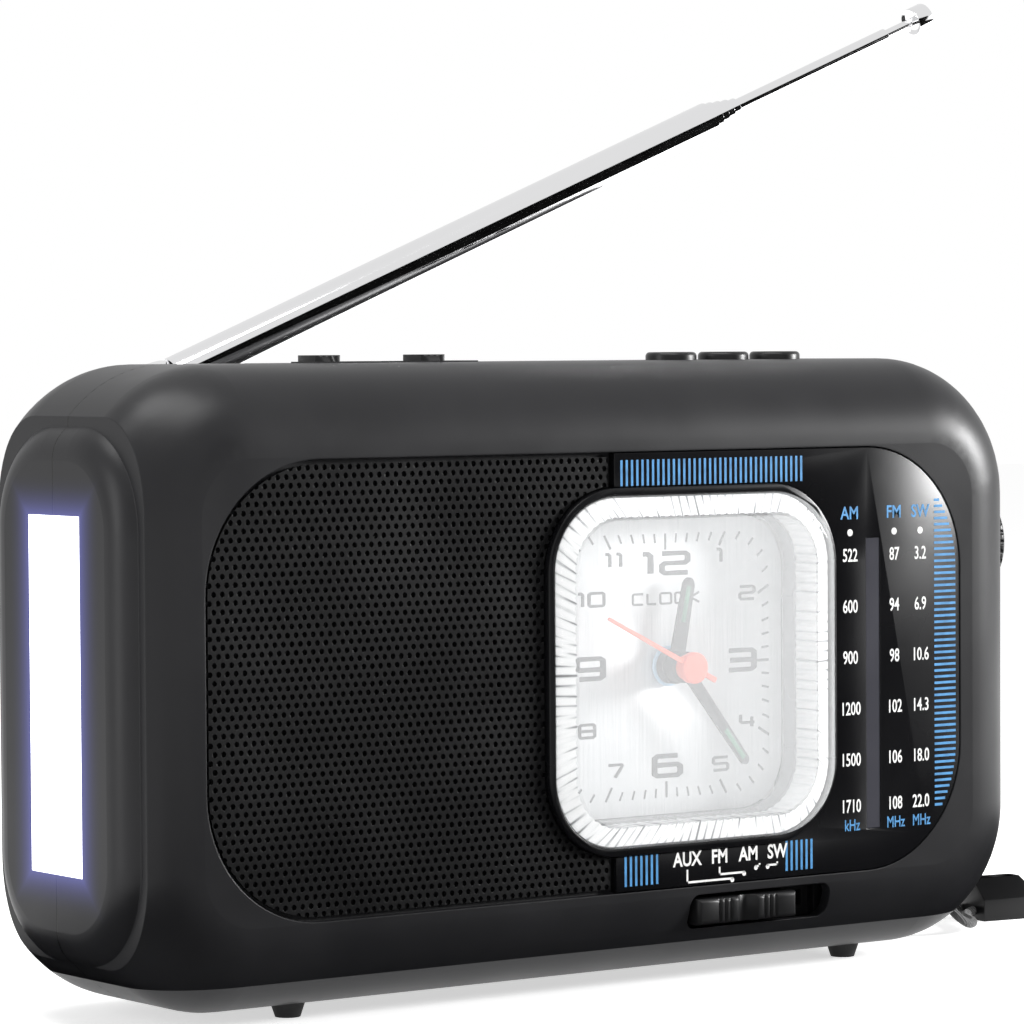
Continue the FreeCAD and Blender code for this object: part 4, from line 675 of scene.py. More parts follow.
class Finishes(Enum):
    """Every finish on the radio."""

    # The case's plastic has a bluish glow painted round the lamp's window.
    ABS = Moulded("satin_abs", "#18181a", "#1c1c1e", 0.38, grain_depth=0.10, mirror=0.22, parting_line=True,
                  painted_glow="#8f93ff")
    KNOB = Moulded("knob_abs", "#131314", "#171718", 0.34, grain_mm=0.3, grain_depth=0.06, edge_mm=0.25,
                   mirror=0.25)
    PANEL = Moulded("printed_panel", "#0b0b0d", "#0e0e10", 0.26, grain_mm=0.5, grain_depth=0.02, edge_mm=0.3,
                    mirror=0.16)
    BEZEL = Moulded("bezel_abs", "#0a0a0c", "#0e0e10", 0.28, grain_mm=0.5, grain_depth=0.02, edge_mm=0.3,
                    mirror=0.2)
    GRILLE = Moulded("powder_coated_steel", "#0c0c0d", "#101011", 0.34, grain_mm=0.4, grain_depth=0.10,
                     edge_mm=0.12, mirror=0.25)
    WHITE_ACETAL = Moulded("white_acetal", "#e6e6e4", "#dededc", 0.4, edge_mm=0.2)
    SMOKE = Moulded("smoked_window", "#34343a", "#3a3a41", 0.25, grain_mm=0.6, grain_depth=0.02)
    CHROME = Metal("polished_chrome", "#e9e9ea", 0.07, grain_mm=6.0, grain_depth=0.02)
    ZINC = Metal("zinc_plated_steel", "#b9bcc0", 0.34)
    DIAL = BrushedDial("brushed_silver_dial", "#f0f1f2", "#cfd1d3")
    DIAL_INK = Ink("dial_ink", "#1b1b1d", "#2a2a2d")
    WHITE_INK = Ink("white_ink", "#e4e4e2", "#cfcfcd")
    BLUE_INK = Ink("blue_ink", "#3d86bd", "#2f6f9f")
    HAND_BLACK = Ink("hand_black", "#19191b", "#222224")
    HAND_GREEN = Ink("hand_green", "#2e7d57", "#256a49")
    HAND_RED = Ink("hand_red", "#e8432f", "#dd3a28")
    DISC_BLUE = Ink("disc_blue", "#4f93c4", "#4386b8")
    ACRYLIC = ClearAcrylic("clear_acrylic", "#ffffff")
    # The prisms' white and dark flanks are painted light and shade.
    RIBS = RibbedAcrylicPaintedStreaks("ribbed_acrylic")
    LAMP = LitDiffuser("lit_diffuser", "#ffffff", "#f1f4ff", 2.6)
    RUBBER = Rough("moulded_rubber", "#161617", "#101011", 0.75, 0.5)
    PAPER = Rough("pressed_paper", "#1c1c1c", "#131313", 0.85, 0.8)
    FERRITE = Rough("sintered_ferrite", "#3a3a3c", "#2c2c2e", 0.6, 0.6)
    BOARD = Rough("solder_mask", "#1f5c38", "#174a2c", 0.4, 1.2, 0.1)
    SLEEVE = Rough("cell_sleeve", "#4b5560", "#434c56", 0.35, 2.0, 0.05)
    CORD = Braid("braided_cord", "#232325", "#0c0c0d", 0.6)

    def material(self) -> bpy.types.Material:
        """This finish's material."""
        return self.value.material()


# ---- Camera and studio -------------------------------------------------------------------------------------

@dataclass
class Camera:
    """A long lens to the left of the front, a little above the middle of the radio."""

    position: tuple[float, float, float] = (-0.57415, -0.77622, 0.13497)
    turned_right: float = 35.774
    tipped_down: float = 2.094
    rolled: float = -0.374
    lens: float = 159.43

    def build(self) -> None:
        """Makes the scene's camera."""
        data = bpy.data.cameras.new("camera")
        data.lens = self.lens
        data.sensor_width = 36.0
        data.clip_start, data.clip_end = 0.05, 20.0
        camera = bpy.data.objects.new("camera", data)
        bpy.context.scene.collection.objects.link(camera)
        camera.location = self.position
        camera.rotation_mode = "QUATERNION"
        camera.rotation_quaternion = (
            Quaternion((0, 0, 1), math.radians(-self.turned_right))
            @ Quaternion((1, 0, 0), math.radians(90 - self.tipped_down))
            @ Quaternion((0, 0, 1), math.radians(self.rolled)))
        bpy.context.scene.camera = camera


@dataclass
class Studio:
    """A pale floor, a white surround and large soft lamps."""

    floor_size: float = 6.0
    centre: Vector = field(default_factory=lambda: Vector((0, 0, 0.08)))

    def build(self) -> None:
        """Makes the floor, the surround and the lamps."""
        self.floor()
        self.surround()
        self.lamp("top_lamp", (-0.20, -0.10, 0.90), (0.9, 0.35), 7.0)
        self.lamp("right_lamp", (0.95, -0.46, 0.30), (0.22, 0.22), 16.0)
        self.lamp("left_lamp", (-1.00, 0.05, 0.30), (0.3, 0.7), 3.0)
        self.flag("under_flag", (0.05, -0.10, 0.010), (0.44, 0.30, 0.001))
        self.flag("front_flag", (0.62, -0.95, 0.25), (0.9, 0.02, 0.7))
        self.flag("floor_flag", (0.80, -0.95, 0.003), (1.4, 1.5, 0.001))

    def lamp(self, name: str, position: tuple[float, float, float], size: tuple[float, float],
             power: float) -> None:
        """Adds a rectangular lamp that faces the radio.

        Args:
            name: Its name.
            position: Where it hangs, in metres.
            size: Its width and height, in metres.
            power: Its power, in watts.
        """
        data = bpy.data.lights.new(name, "AREA")
        data.shape = "RECTANGLE"
        data.size, data.size_y = size
        data.energy = power
        lamp = bpy.data.objects.new(name, data)
        bpy.context.scene.collection.objects.link(lamp)
        lamp.location = position
        lamp.rotation_mode = "QUATERNION"
        lamp.rotation_quaternion = (Vector(position) - self.centre).to_track_quat("Z", "Y")

    def flag(self, name: str, position: tuple[float, float, float], size: tuple[float, float, float]) -> None:
        """Adds a black card that only reflections and light through glass see."""
        half = Vector(size) / 2
        card = add_box(name, Vector(position) - half, Vector(position) + half)
        tree = fresh_tree(name)
        black = add_node(tree, "BsdfDiffuse", {"Color": linear("#050505")})
        add_node(tree, "OutputMaterial", links={"Surface": black.outputs["BSDF"]})
        card.data.materials.append(bpy.data.materials[name])
        card.visible_camera = card.visible_diffuse = card.visible_shadow = False

    def floor(self) -> None:
        """Adds the pale floor, which keeps the radio's shadow and is white around it."""
        deselect()
        bpy.ops.mesh.primitive_plane_add(size=self.floor_size)
        floor = settle(bpy.context.object, "floor")
        tree = fresh_tree("pale_floor")
        path = add_node(tree, "LightPath")
        seen = add_node(tree, "Math", {"operation": "MAXIMUM"},
                        {0: path.outputs["Is Camera Ray"], 1: path.outputs["Is Glossy Ray"]})
        seen = add_node(tree, "Math", {"operation": "MAXIMUM"},
                        {0: seen.outputs[0], 1: path.outputs["Is Transmission Ray"]})
        paint = add_node(tree, "BsdfDiffuse", {"Color": linear("#f2f2f2")})
        glow = add_node(tree, "Emission", {"Color": linear("#ffffff")})
        lift = add_node(tree, "Math", {"operation": "MULTIPLY", 1: 0.6}, {0: seen.outputs[0]})
        tree.links.new(lift.outputs[0], glow.inputs["Strength"])
        both = add_node(tree, "AddShader", links={0: paint.outputs["BSDF"], 1: glow.outputs["Emission"]})
        add_node(tree, "OutputMaterial", links={"Surface": both.outputs["Shader"]})
        floor.data.materials.append(bpy.data.materials["pale_floor"])

    def surround(self) -> None:
        """Makes the world white to the eye and a plain soft light to everything else."""
        world = bpy.data.worlds.new("surround")
        bpy.context.scene.world = world
        world.use_nodes = True
        tree = world.node_tree
        tree.nodes.clear()
        path = add_node(tree, "LightPath")
        seen = add_node(tree, "Math", {"operation": "MAXIMUM"},
                        {0: path.outputs["Is Camera Ray"], 1: path.outputs["Is Transmission Ray"]})
        mirrored = add_node(tree, "MapRange", {"To Min": 0.42, "To Max": 0.9},
                            {"Value": path.outputs["Is Glossy Ray"]})
        strength = add_node(tree, "MapRange", {"To Max": 1.0},
                            {"Value": seen.outputs[0], "To Min": mirrored.outputs["Result"]})
        glow = add_node(tree, "Background", {"Color": linear("#ffffff")},
                        {"Strength": strength.outputs["Result"]})
        add_node(tree, "OutputWorld", links={"Surface": glow.outputs["Background"]})


# ---- Wrist strap -------------------------------------------------------------------------------------------

@dataclass
class Strap:
    """Two legs of braided cord from the eye at the right end to a flat moulded tab on the table."""

    diameter: float = 2.0
    front_points: tuple = ((106.634, 14.4, 19.5), (106.934, 9.4, 18.5), (106.434, 4.4, 12.0),
                           (108.234, 0.4, 5.5), (114.134, 1.4, 2.0), (120.634, 6.4, 1.7),
                           (125.472, 16.825, 1.9), (131.472, 19.425, 2.2))
    back_points: tuple = ((106.634, 17.6, 19.5), (107.434, 22.1, 18.0), (110.134, 26.1, 12.5),
                          (115.634, 27.1, 6.5), (125.696, 26.375, 2.6), (132.196, 24.575, 2.2))
    front_length: float = 52.9
    back_length: float = 37.4
    tab: tuple[float, float, float] = (18.0, 14.0, 9.6)
    slope: float = 4.6
    tab_root: tuple[float, float] = (132.134, 22.0)
    tab_turn: float = -8.0

    def build(self) -> None:
        """Makes the tab and both legs."""
        tab = self.make_tab()
        legs = [("front", self.front_points, self.front_length), ("back", self.back_points, self.back_length)]
        for name, points, length in legs:
            leg = self.make_leg("strap_cord_" + name, points)
            finish_piece(leg, "case", Finishes.CORD, ["strap_leg_" + name])
            [part * MM for part in points[0]]

    def make_leg(self, name: str, points: Sequence[tuple[float, float, float]]) -> bpy.types.Object:
        """Makes one leg as a smooth curve with a round section."""
        route = [[part * MM for part in point] for point in points]
        leg = add_round_curve(name, "NURBS", route, self.diameter / 2 * MM, 5)
        leg.data.resolution_u = 14
        spline = leg.data.splines[0]
        spline.order_u = 3
        spline.use_endpoint_u = True
        return leg

    def make_tab(self) -> bpy.types.Object:
        """Makes the tab: round at its far end, sloped all round but at its root, with a pocket in its top."""
        length, width, thick = (part * MM for part in self.tab)
        tab = add_box("strap_tab_piece", Vector((0, -width / 2, 0)), Vector((length, width / 2, thick)))
        bevel_edges(tab, lambda start, end: abs(start.z - end.z) > 1e-4 and start.x > length / 2,
                    width * 0.42, 10)
        bevel_edges(tab, lambda start, end: min(start.z, end.z) > thick - 1e-6 and max(start.x, end.x) > 1e-6,
                    self.slope * MM, 1)
        pocket = add_box("pocket", Vector((length * 0.35, -width / 8, thick - self.slope / 2 * MM)),
                         Vector((length * 0.70, width / 8, thick * 2)))
        cut(tab, pocket)
        break_edges(tab, 0.5 * MM, 3)
        tab.location = Vector((*self.tab_root, 0)) * MM
        tab.rotation_euler = (0, 0, math.radians(self.tab_turn))
        settle(tab, "strap_tab_piece")
        return finish_piece(tab, "case", Finishes.KNOB, ["strap_tab"])


# ---- Front -------------------------------------------------------------------------------------------------

def clock_slab(name: str, size: float, corner: float, front: float, back: float,
               segments: int = 16) -> bpy.types.Object:
    """A square slab with round corners about the clock's axis."""
    return rounded_slab(name, (21.85, 67.4), (size, size), corner, front, back, segments)


@dataclass
class Grille:
    """Perforated steel in front of the speaker: staggered round holes, 2 mm apart."""

    middle: tuple[float, float] = (-1.45, 67.25)
    size: tuple[float, float] = (192.0, 89.5)
    corner: float = 25.5
    right: float = -0.15
    front: float = 0.8
    back: float = 1.5
    pitch: float = 2.0
    hole: float = 1.24
    sides: int = 8

    def build(self) -> None:
        """Makes the sheet and its holes."""
        sheet = rounded_slab("perforated_grille", self.middle, self.size, self.corner, self.front, self.back)
        side = add_box("side", place(-150, -5, -10), place(self.right, 20, 200))
        cut(sheet, side, operation="INTERSECT")
        cut(sheet, clock_slab("bite", 77.0, 17.8, -2, 5))
        holes = self.holes()
        use_modifier(sheet, "BOOLEAN", object=holes, operation="DIFFERENCE", solver="MANIFOLD")
        bpy.data.objects.remove(holes)
        finish_piece(sheet, "case", Finishes.GRILLE, ["speaker_grille"])

    def holes(self) -> bpy.types.Object:
        """Makes the staggered rows of round cutters."""
        left = self.middle[0] - self.size[0] / 2
        low = self.middle[1] - self.size[1] / 2
        row = self.pitch * math.sqrt(3) / 2
        cutters = []
        for number in range(2):
            x = left + 0.4 + number * self.pitch / 2
            z = low + 0.5 + number * row
            cutters.append(add_bar("hole", place(x, self.front - 1, z), place(x, self.back + 1, z),
                                   self.hole / 2 * MM, self.sides))
        pair = join("holes", cutters)
        repeat(pair, int((self.right - left) / self.pitch) + 2, Vector((self.pitch * MM, 0, 0)))
        return repeat(pair, int(self.size[1] / row / 2) + 1, Vector((0, 0, 2 * row * MM)))


@dataclass
class ScalePanel:
    """The printed panel with the tuning scale, the striped borders and the band legend."""

    middle: tuple[float, float] = (-1.45, 67.25)
    size: tuple[float, float] = (193.5, 91.0)
    corner: float = 26.25
    left: float = 1.05
    front: float = 0.1
    back: float = 2.0
    strip: tuple[float, float, float, float] = (70.75, 61.9, 4.0, 62.8)
    print_lift: float = 0.03
    am: tuple[str, ...] = ("522", "600", "900", "1200", "1500", "1710")
    fm: tuple[str, ...] = ("87", "94", "98", "102", "106", "108")
    sw: tuple[str, ...] = ("3.2", "6.9", "10.6", "14.3", "18.0", "22.0")
    levels: tuple[float, ...] = (89.5, 78.5, 67.5, 56.5, 45.5, 35.5)

    def build(self) -> None:
        """Makes the panel, its window and all that is printed on it."""
        panel = rounded_slab("scale_panel_piece", self.middle, self.size, self.corner, self.front, self.back,
                             20)
        side = add_box("side", place(self.left, -5, -10), place(150, 20, 200))
        cut(panel, side, operation="INTERSECT")
        cut(panel, clock_slab("bite", 76.6, 17.6, -2, 5))
        across, level, width, height = self.strip
        cut(panel, add_box("slot", place(across - width / 2, -1, level - height / 2),
                           place(across + width / 2, 5, level + height / 2)))
        break_edges(panel, 0.28 * MM)
        finish_piece(panel, "case", Finishes.PANEL, ["scale_panel"])
        self.print_blue()
        self.print_white()

    def bar(self, left: float, right: float, low: float, high: float) -> bpy.types.Object:
        """A thin printed bar between two sides and two levels."""
        return add_box("bar", place(left, self.front - self.print_lift, low),
                       place(right, self.front + 0.01, high))

    def bars_up(self, left: float, count: int, pitch: float, low: float, high: float) -> bpy.types.Object:
        """A row of upright bars."""
        return repeat(self.bar(left, left + 0.42 * pitch, low, high), count, Vector((pitch * MM, 0, 0)))

    def lettering(self, text: str, across: float, level: float, height: float, bold: float = 0.0,
                  stretch: float = 0.86) -> bpy.types.Object:
        """Text centred on a place of the panel."""
        return flat_text(text, across, self.front - self.print_lift, level, height, stretch, bold)

    def print_blue(self) -> None:
        """Prints the striped borders, the names of the bands and their units."""
        items = [self.bars_up(2.6, 36, 1.37, 105.9, 111.3), self.bars_up(3.1, 7, 1.37, 22.8, 29.0),
                 self.bars_up(46.1, 6, 1.37, 23.0, 29.4)]
        for number in range(51):
            level = 34.2 + number * 1.33
            reach = self.right_end(level)
            if reach > 88.6:
                items.append(self.bar(88.1, reach, level, level + 0.55))
        for text, across in (("AM", 64.2), ("FM", 76.6), ("SW", 84.1)):
            items.append(self.lettering(text, across, 98.6, 2.7, 0.06, 0.9))
        for text, across in (("kHz", 64.6), ("MHz", 76.9), ("MHz", 84.2)):
            items.append(self.lettering(text, across, 31.4, 2.4, 0.04, 0.78))
        finish_piece(join("panel_blue_print", items), "case", Finishes.BLUE_INK)

    def right_end(self, level: float) -> float:
        """How far right a bar may run before the panel's round corner, in millimetres."""
        edge = self.middle[0] + self.size[0] / 2 - 1.1
        radius = self.corner - 1.1
        beyond = abs(level + 0.3 - self.middle[1]) - (self.size[1] / 2 - self.corner)
        inset = radius - math.sqrt(max(radius ** 2 - beyond ** 2, 0)) if beyond > 0 else 0
        return edge - inset

    def print_white(self) -> None:
        """Prints the numbers, the dots and the legend of the band switch."""
        items = []
        for column, across in ((self.am, 64.3), (self.fm, 76.7), (self.sw, 84.1)):
            for text, level in zip(column, self.levels):
                items.append(self.lettering(text, across, level, 2.75, 0.05, 0.72))
            items.append(add_bar("dot", place(across, self.front - self.print_lift, 94.5),
                                 place(across, self.front + 0.01, 94.5), 0.75 * MM, 20))
        for text, across in (("AUX", 19.6), ("FM", 28.2), ("AM", 36.0), ("SW", 43.8)):
            items.append(self.lettering(text, across, 27.3, 2.9, 0.10, 0.86))
        items += self.legend_lines()
        finish_piece(join("panel_white_print", items), "case", Finishes.WHITE_INK)

    def legend_lines(self) -> list[bpy.types.Object]:
        """The lines that lead from the names of the bands to the dots over the knob."""
        wide = 0.22
        items = []
        dots = (31.6, 34.8, 38.0, 41.2)
        starts = (19.6, 28.2, 39.0, 43.8)
        drops = (22.3, 23.4, 24.4, 24.4)
        for dot, start, drop in zip(dots, starts, drops):
            low, high = sorted((dot, start))
            items.append(self.bar(low - wide, high + wide, drop, drop + 2 * wide))
            items.append(self.bar(start - wide, start + wide, drop, 25.2))
            items.append(add_bar("dot", place(dot, self.front - self.print_lift, drop - 0.1),
                                 place(dot, self.front + 0.01, drop - 0.1), 0.5 * MM, 16))
        return items


def flat_text(text: str, across: float, depth: float, level: float, height: float, stretch: float,
              bold: float, lean: float = 0.0) -> bpy.types.Object:
    """Makes flat lettering that faces the front.

    Args:
        text: What it says.
        across: The place of its middle to the right of the case's middle, in millimetres.
        depth: Its depth on the case, in millimetres.
        level: The level of its middle, in millimetres.
        height: The height of a capital, in millimetres.
        stretch: How wide it is against the typeface's own width.
        bold: How far its outline is grown, in millimetres.
        lean: How far it slants.

    Returns:
        The lettering as a mesh.
    """
    deselect()
    bpy.ops.object.text_add()
    item = bpy.context.object
    data = item.data
    data.body = text
    data.align_x = "CENTER"
    data.align_y = "CENTER"
    data.size = height * MM / 0.7
    data.offset = bold * MM
    data.shear = lean
    data.extrude = 0.01 * MM
    data.resolution_u = 3
    bpy.ops.object.convert(target="MESH")
    item = bpy.context.object
    item.location = place(across, depth, level)
    item.rotation_euler = (math.pi / 2, 0, 0)
    item.scale = (stretch, 1, 1)
    return settle(item, "lettering")


# ---- Clock -------------------------------------------------------------------------------------------------

def ring_point(turn: float, half: float, corner: float) -> tuple[float, float]:
    """Where a line from the clock's middle crosses a square with round corners.

    Args:
        turn: The line's turn clockwise from twelve, in radians.
        half: Half the square's width.
        corner: The radius of its corners.

    Returns:
        The crossing as (across, up) from the middle.
    """
    x, z = math.sin(turn), math.cos(turn)
    reach = half / max(abs(x), abs(z))
    inner = half - corner
    px, pz = abs(x) * reach, abs(z) * reach
    if px > inner and pz > inner:
        middle = inner * (abs(x) + abs(z))
        reach = middle + math.sqrt(max(middle ** 2 - 2 * inner ** 2 + corner ** 2, 0))
    return x * reach, z * reach


# Each character's width against its height, and its strokes as corners across and up.
GLYPHS = {
    "0": (1.0, (((0, 0.5), (0, 0), (1, 0), (1, 1), (0, 1), (0, 0.5)),)),
    "1": (0.3, (((0, 1), (1, 1), (1, 0)),)),
    "2": (1.0, (((0, 1), (1, 1), (1, 0.5), (0, 0.5), (0, 0), (1, 0)),)),
    "3": (1.0, (((0, 1), (1, 1), (1, 0), (0, 0)), ((0.05, 0.5), (1, 0.5)))),
    "4": (1.0, (((0, 1), (0, 0.35), (1, 0.35)), ((0.8, 0.8), (0.8, 0)))),
    "5": (1.0, (((1, 1), (0, 1), (0, 0.5), (1, 0.5), (1, 0), (0, 0)),)),
    "6": (1.0, (((0.9, 1), (0, 1), (0, 0), (1, 0), (1, 0.55), (0, 0.55)),)),
    "7": (1.0, (((0, 1), (1, 1), (0.45, 0)),)),
    "8": (1.0, (((0, 0.5), (0, 0), (1, 0), (1, 1), (0, 1), (0, 0.5)), ((0, 0.5), (1, 0.5)))),
    "9": (1.0, (((0.1, 0), (1, 0), (1, 1), (0, 1), (0, 0.45), (1, 0.45)),)),
    "C": (0.95, (((1, 1), (0, 1), (0, 0), (1, 0)),)),
    "L": (0.8, (((0, 1), (0, 0), (1, 0)),)),
    "O": (1.0, (((0, 0.5), (0, 0), (1, 0), (1, 1), (0, 1), (0, 0.5)),)),
    "K": (0.9, (((0, 1), (0, 0)), ((1, 1), (0.1, 0.5), (1, 0)))),
}


@dataclass
class Clock:
    """The clock's bezel, clear cover, dial, hands and alarm disc."""

    across: float = 21.85
    level: float = 67.4
    dial_depth: float = 10.0
    dial_size: float = 62.8
    dial_corner: float = 11.5
    cover_size: float = 73.0
    core_size: float = 63.0
    core_corner: float = 10.5
    rib_pitch: float = 2.1
    rib_height: float = 0.5
    rib_front: float = -1.6
    rib_back: float = 6.0
    track_half: float = 27.9
    track_corner: float = 9.5
    big: tuple = (("12", 0.0, 21.6), ("3", 20.4, 0.3), ("6", 0.3, -21.2), ("9", -20.0, 0.2))
    small: tuple = (("1", 14.4, 22.8), ("2", 22.0, 14.6), ("4", 22.0, -12.8), ("5", 14.6, -21.6),
                    ("7", -13.4, -21.6), ("8", -20.8, -12.8), ("10", -19.6, 14.6), ("11", -13.8, 22.6))

    def build(self) -> None:
        """Makes every visible piece of the clock."""
        bezel = clock_slab("bezel_ring", 76.4, 17.5, -0.6, 2.0, 20)
        cut(bezel, clock_slab("hole", 73.1, 15.55, -4, 6, 20))
        break_edges(bezel, 0.3 * MM)
        finish_piece(bezel, "case", Finishes.BEZEL, ["clock_bezel"])
        self.cover()
        self.dial()
        self.numerals()
        self.hands()

    def cover(self) -> None:
        """Makes the clear cup, the prisms in its walls and the black well that they stand in."""
        cup = clock_slab("clear_cover", self.cover_size, 15.5, -4.0, 9.95, 24)
        bevel_edges(cup, at_depth(-4.0), 3.2 * MM, 3)
        cut(cup, clock_slab("core", self.core_size, self.core_corner, -1.8, 14.0, 24))
        smooth(cup, 30)
        finish_piece(cup, "case", Finishes.ACRYLIC, ["clock_lens"])
        well = clock_slab("clock_well", 72.2, 15.1, self.rib_back + 0.15, 9.8, 20)
        cut(well, clock_slab("core", 63.5, 10.75, -4, 14, 20))
        finish_piece(break_edges(well, 0.1 * MM), "case", Finishes.BEZEL)
        self.ribs()

    def ribs(self) -> None:
        """Makes the ring of prisms: scalloped inside, smooth outside, with a sloping front."""
        inner_ring = self.loop_tube("cover_ribs", 63.7, 10.85, self.rib_front, self.rib_back, self.rib_height)
        outer_ring = self.loop_tube("outer", 72.2, 15.1, self.rib_front + 1.6, self.rib_back + 0.08, 0.0)
        ring = join("cover_ribs", [inner_ring, outer_ring])
        for depth in (self.rib_front, self.rib_back):
            spread = 1.7 if depth == self.rib_front else 0.15
            limits = place(0, depth - 0.1, 0).y, place(0, depth + spread, 0).y
            edit(ring, edges=lambda start, end, low=limits[0], high=limits[1]:
                 low < start.y < high and low < end.y < high)
            bpy.ops.mesh.bridge_edge_loops()
            leave_edit()
        edit(ring, faces=lambda middle, normal: True)
        bpy.ops.mesh.normals_make_consistent(inside=False)
        leave_edit()
        # Each prism's phase, which the rib material turns into painted light and shade.
        wave = ring.data.attributes.new(RIB_ATTRIBUTE, "FLOAT", "POINT")
        zero = place(self.across, 0, self.level)
        for number, vertex in enumerate(ring.data.vertices):
            wave.data[number].value = self.rib_wave((vertex.co.x - zero.x) / MM, (vertex.co.z - zero.z) / MM)
        smooth(ring, 50)
        finish_piece(ring, "case", Finishes.RIBS)

    def rib_wave(self, x: float, z: float) -> float:
        """How far a place round the wall is from the nearest valley between prisms, from 0 to 1."""
        flat = self.core_size / 2 - self.core_corner
        corner = 12.0
        across, up = x, z
        for _ in range(4):
            if up >= abs(across) and up > 0:
                break
            across, up = -up, across
        if abs(across) <= flat:
            along = across
        else:
            lean = math.atan2(abs(across) - flat, max(up - flat, 1e-6))
            along = math.copysign(flat + corner * lean, across)
        return abs(math.sin(math.pi * along / self.rib_pitch))

    def loop_tube(self, name: str, size: float, corner: float, front: float, back: float,
                  wave: float) -> bpy.types.Object:
        """Makes an open tube with the section of a square with round corners, scalloped or plain.

        Args:
            name: The tube's name.
            size: The width of its section, in millimetres.
            corner: The radius of its corners.
            front: The depth of its front edge.
            back: The depth of its back edge.
            wave: How deep its scallops are.

        Returns:
            The tube, with the same number of points whatever its size.
        """
        per_side = 96
        deselect()
        middle = (front + back) / 2
        bpy.ops.mesh.primitive_cylinder_add(
            vertices=4 * per_side, radius=size / 2 * MM, depth=(back - front) * MM,
            location=place(self.across, middle, self.level), rotation=(math.pi / 2, 0, 0),
            end_fill_type="NOTHING")
        tube = settle(bpy.context.object, name)
        zero = place(self.across, 0, self.level)
        flat = size / 2 - corner
        for vertex in tube.data.vertices:
            turn = math.atan2(vertex.co.x - zero.x, vertex.co.z - zero.z) % math.tau
            side, rest = divmod(turn / math.tau * 4 + 0.5, 1)
            along = (rest - 0.5) * 2 * (flat + math.pi / 4 * corner)
            if abs(along) <= flat:
                spot, out = (along, size / 2), (0.0, 1.0)
            else:
                lean = math.copysign((abs(along) - flat) / corner, along)
                out = (math.sin(lean), math.cos(lean))
                spot = (math.copysign(flat, along) + corner * out[0], flat + corner * out[1])
            reach = wave * self.rib_wave(spot[0], spot[1]) if wave else 0.0
            x, z = spot[0] + out[0] * reach, spot[1] + out[1] * reach
            quarter = math.pi / 2 * side
            vertex.co.x = zero.x + (x * math.cos(quarter) + z * math.sin(quarter)) * MM
            vertex.co.z = zero.z + (-x * math.sin(quarter) + z * math.cos(quarter)) * MM
        return tube

    def dial(self) -> None:
        """Makes the silvered plate with its hole and its softened edge."""
        plate = clock_slab("dial_plate", self.dial_size, self.dial_corner, self.dial_depth, 10.8, 16)
        cut(plate, add_bar("hole", place(self.across, 5, self.level), place(self.across, 15, self.level),
                           3.0 * MM))
        break_edges(plate, 0.12 * MM)
        finish_piece(plate, "case", Finishes.DIAL, ["clock_dial"])

    def numerals(self) -> None:
        """Prints the numbers, the word and the minute track."""
        items = []
        for text, x, z in self.big:
            items += self.strokes(text, x, z, 5.2, 1.05, 1.65)
        for text, x, z in self.small:
            items += self.strokes(text, x, z, 3.35, 0.66, 1.45)
        items += self.strokes("CLOCK", 0.2, 14.2, 2.7, 0.5, 1.3)
        items += [self.tick(minute) for minute in range(60)]
        finish_piece(join("dial_print", items), "case", Finishes.DIAL_INK)

    def strokes(self, text: str, x: float, z: float, height: float, weight: float,
                stretch: float) -> list[bpy.types.Object]:
        """Draws squarish, extended characters with a pen of one width.

        Args:
            text: The characters.
            x: The middle of the text to the right of the clock's axis, in millimetres.
            z: Its middle above the axis.
            height: The height of a character.
            weight: The width of the pen.
            stretch: How much wider it is drawn than the plain character.

        Returns:
            One flat mesh for each stroke.
        """
        inner = height - weight
        widths = [GLYPHS[character][0] * inner for character in text]
        gap = weight * 1.75
        start = -(sum(widths) + gap * (len(text) - 1)) / 2
        items = []
        for character, width in zip(text, widths):
            for stroke in GLYPHS[character][1]:
                corners = [Vector((start + across * width, (up - 0.5) * inner, 0)) for across, up in stroke]
                items.append(self.pen_line(corners, weight, stretch, x, z))
            start += width + gap
        return items

    def pen_line(self, corners: Sequence[Vector], weight: float, stretch: float, x: float,
                 z: float) -> bpy.types.Object:
        """Draws one stroke with its corners taken off, as a thin flat mesh on the dial."""
        path = [corners[0]]
        for before, corner, after in zip(corners, corners[1:], corners[2:]):
            path += [corner + (side - corner).normalized() * weight * 0.45 for side in (before, after)]
        path.append(corners[-1])
        line = add_round_curve("stroke", "POLY", [spot * MM for spot in path], weight / 2 * MM, 2)
        choose(line)
        bpy.ops.object.convert(target="MESH")
        line = bpy.context.object
        line.location = place(self.across + x, self.dial_depth - 0.02, self.level + z)
        line.rotation_euler = (math.pi / 2, 0, 0)
        line.scale = (stretch, 1, 0.04)
        return settle(line, "stroke")

    def tick(self, minute: int) -> bpy.types.Object:
        """One mark of the minute track, longer at the hours."""
        turn = math.tau * minute / 60
        is_hour = minute % 5 == 0
        outer = ring_point(turn, self.track_half, self.track_corner)
        length = 3.4 if is_hour else 2.0
        half_width = 0.3 if is_hour else 0.25
        reach = math.hypot(*outer)
        mark = add_box("tick", Vector((-half_width, -0.02, reach - length)) * MM,
                       Vector((half_width, 0.01, reach)) * MM)
        mark.rotation_euler = (0, turn, 0)
        mark.location = place(self.across, self.dial_depth, self.level)
        return settle(mark, "tick")

    def hands(self) -> None:
        """Makes the hands with their collars, and the alarm disc."""
        self.baton("hour", 11.8, 19.0, 3.9, 6.4, 7.0, 3.7, 8.55, (9.5, 17.2))
        self.baton("minute", 141.7, 27.0, 2.9, 3.4, 4.0, 3.35, 6.3, (17.5, 25.4))
        self.sweep()
        disc = add_bar("alarm_disc_piece", place(self.across, 8.7, self.level),
                       place(self.across, 9.2, self.level), 4.3 * MM)
        cut(disc, add_bar("hole", place(self.across, 5, self.level), place(self.across, 15, self.level),
                          2.15 * MM))
        break_edges(disc, 0.12 * MM)
        finish_piece(disc, "alarm_disc", Finishes.DISC_BLUE, ["alarm_disc"])

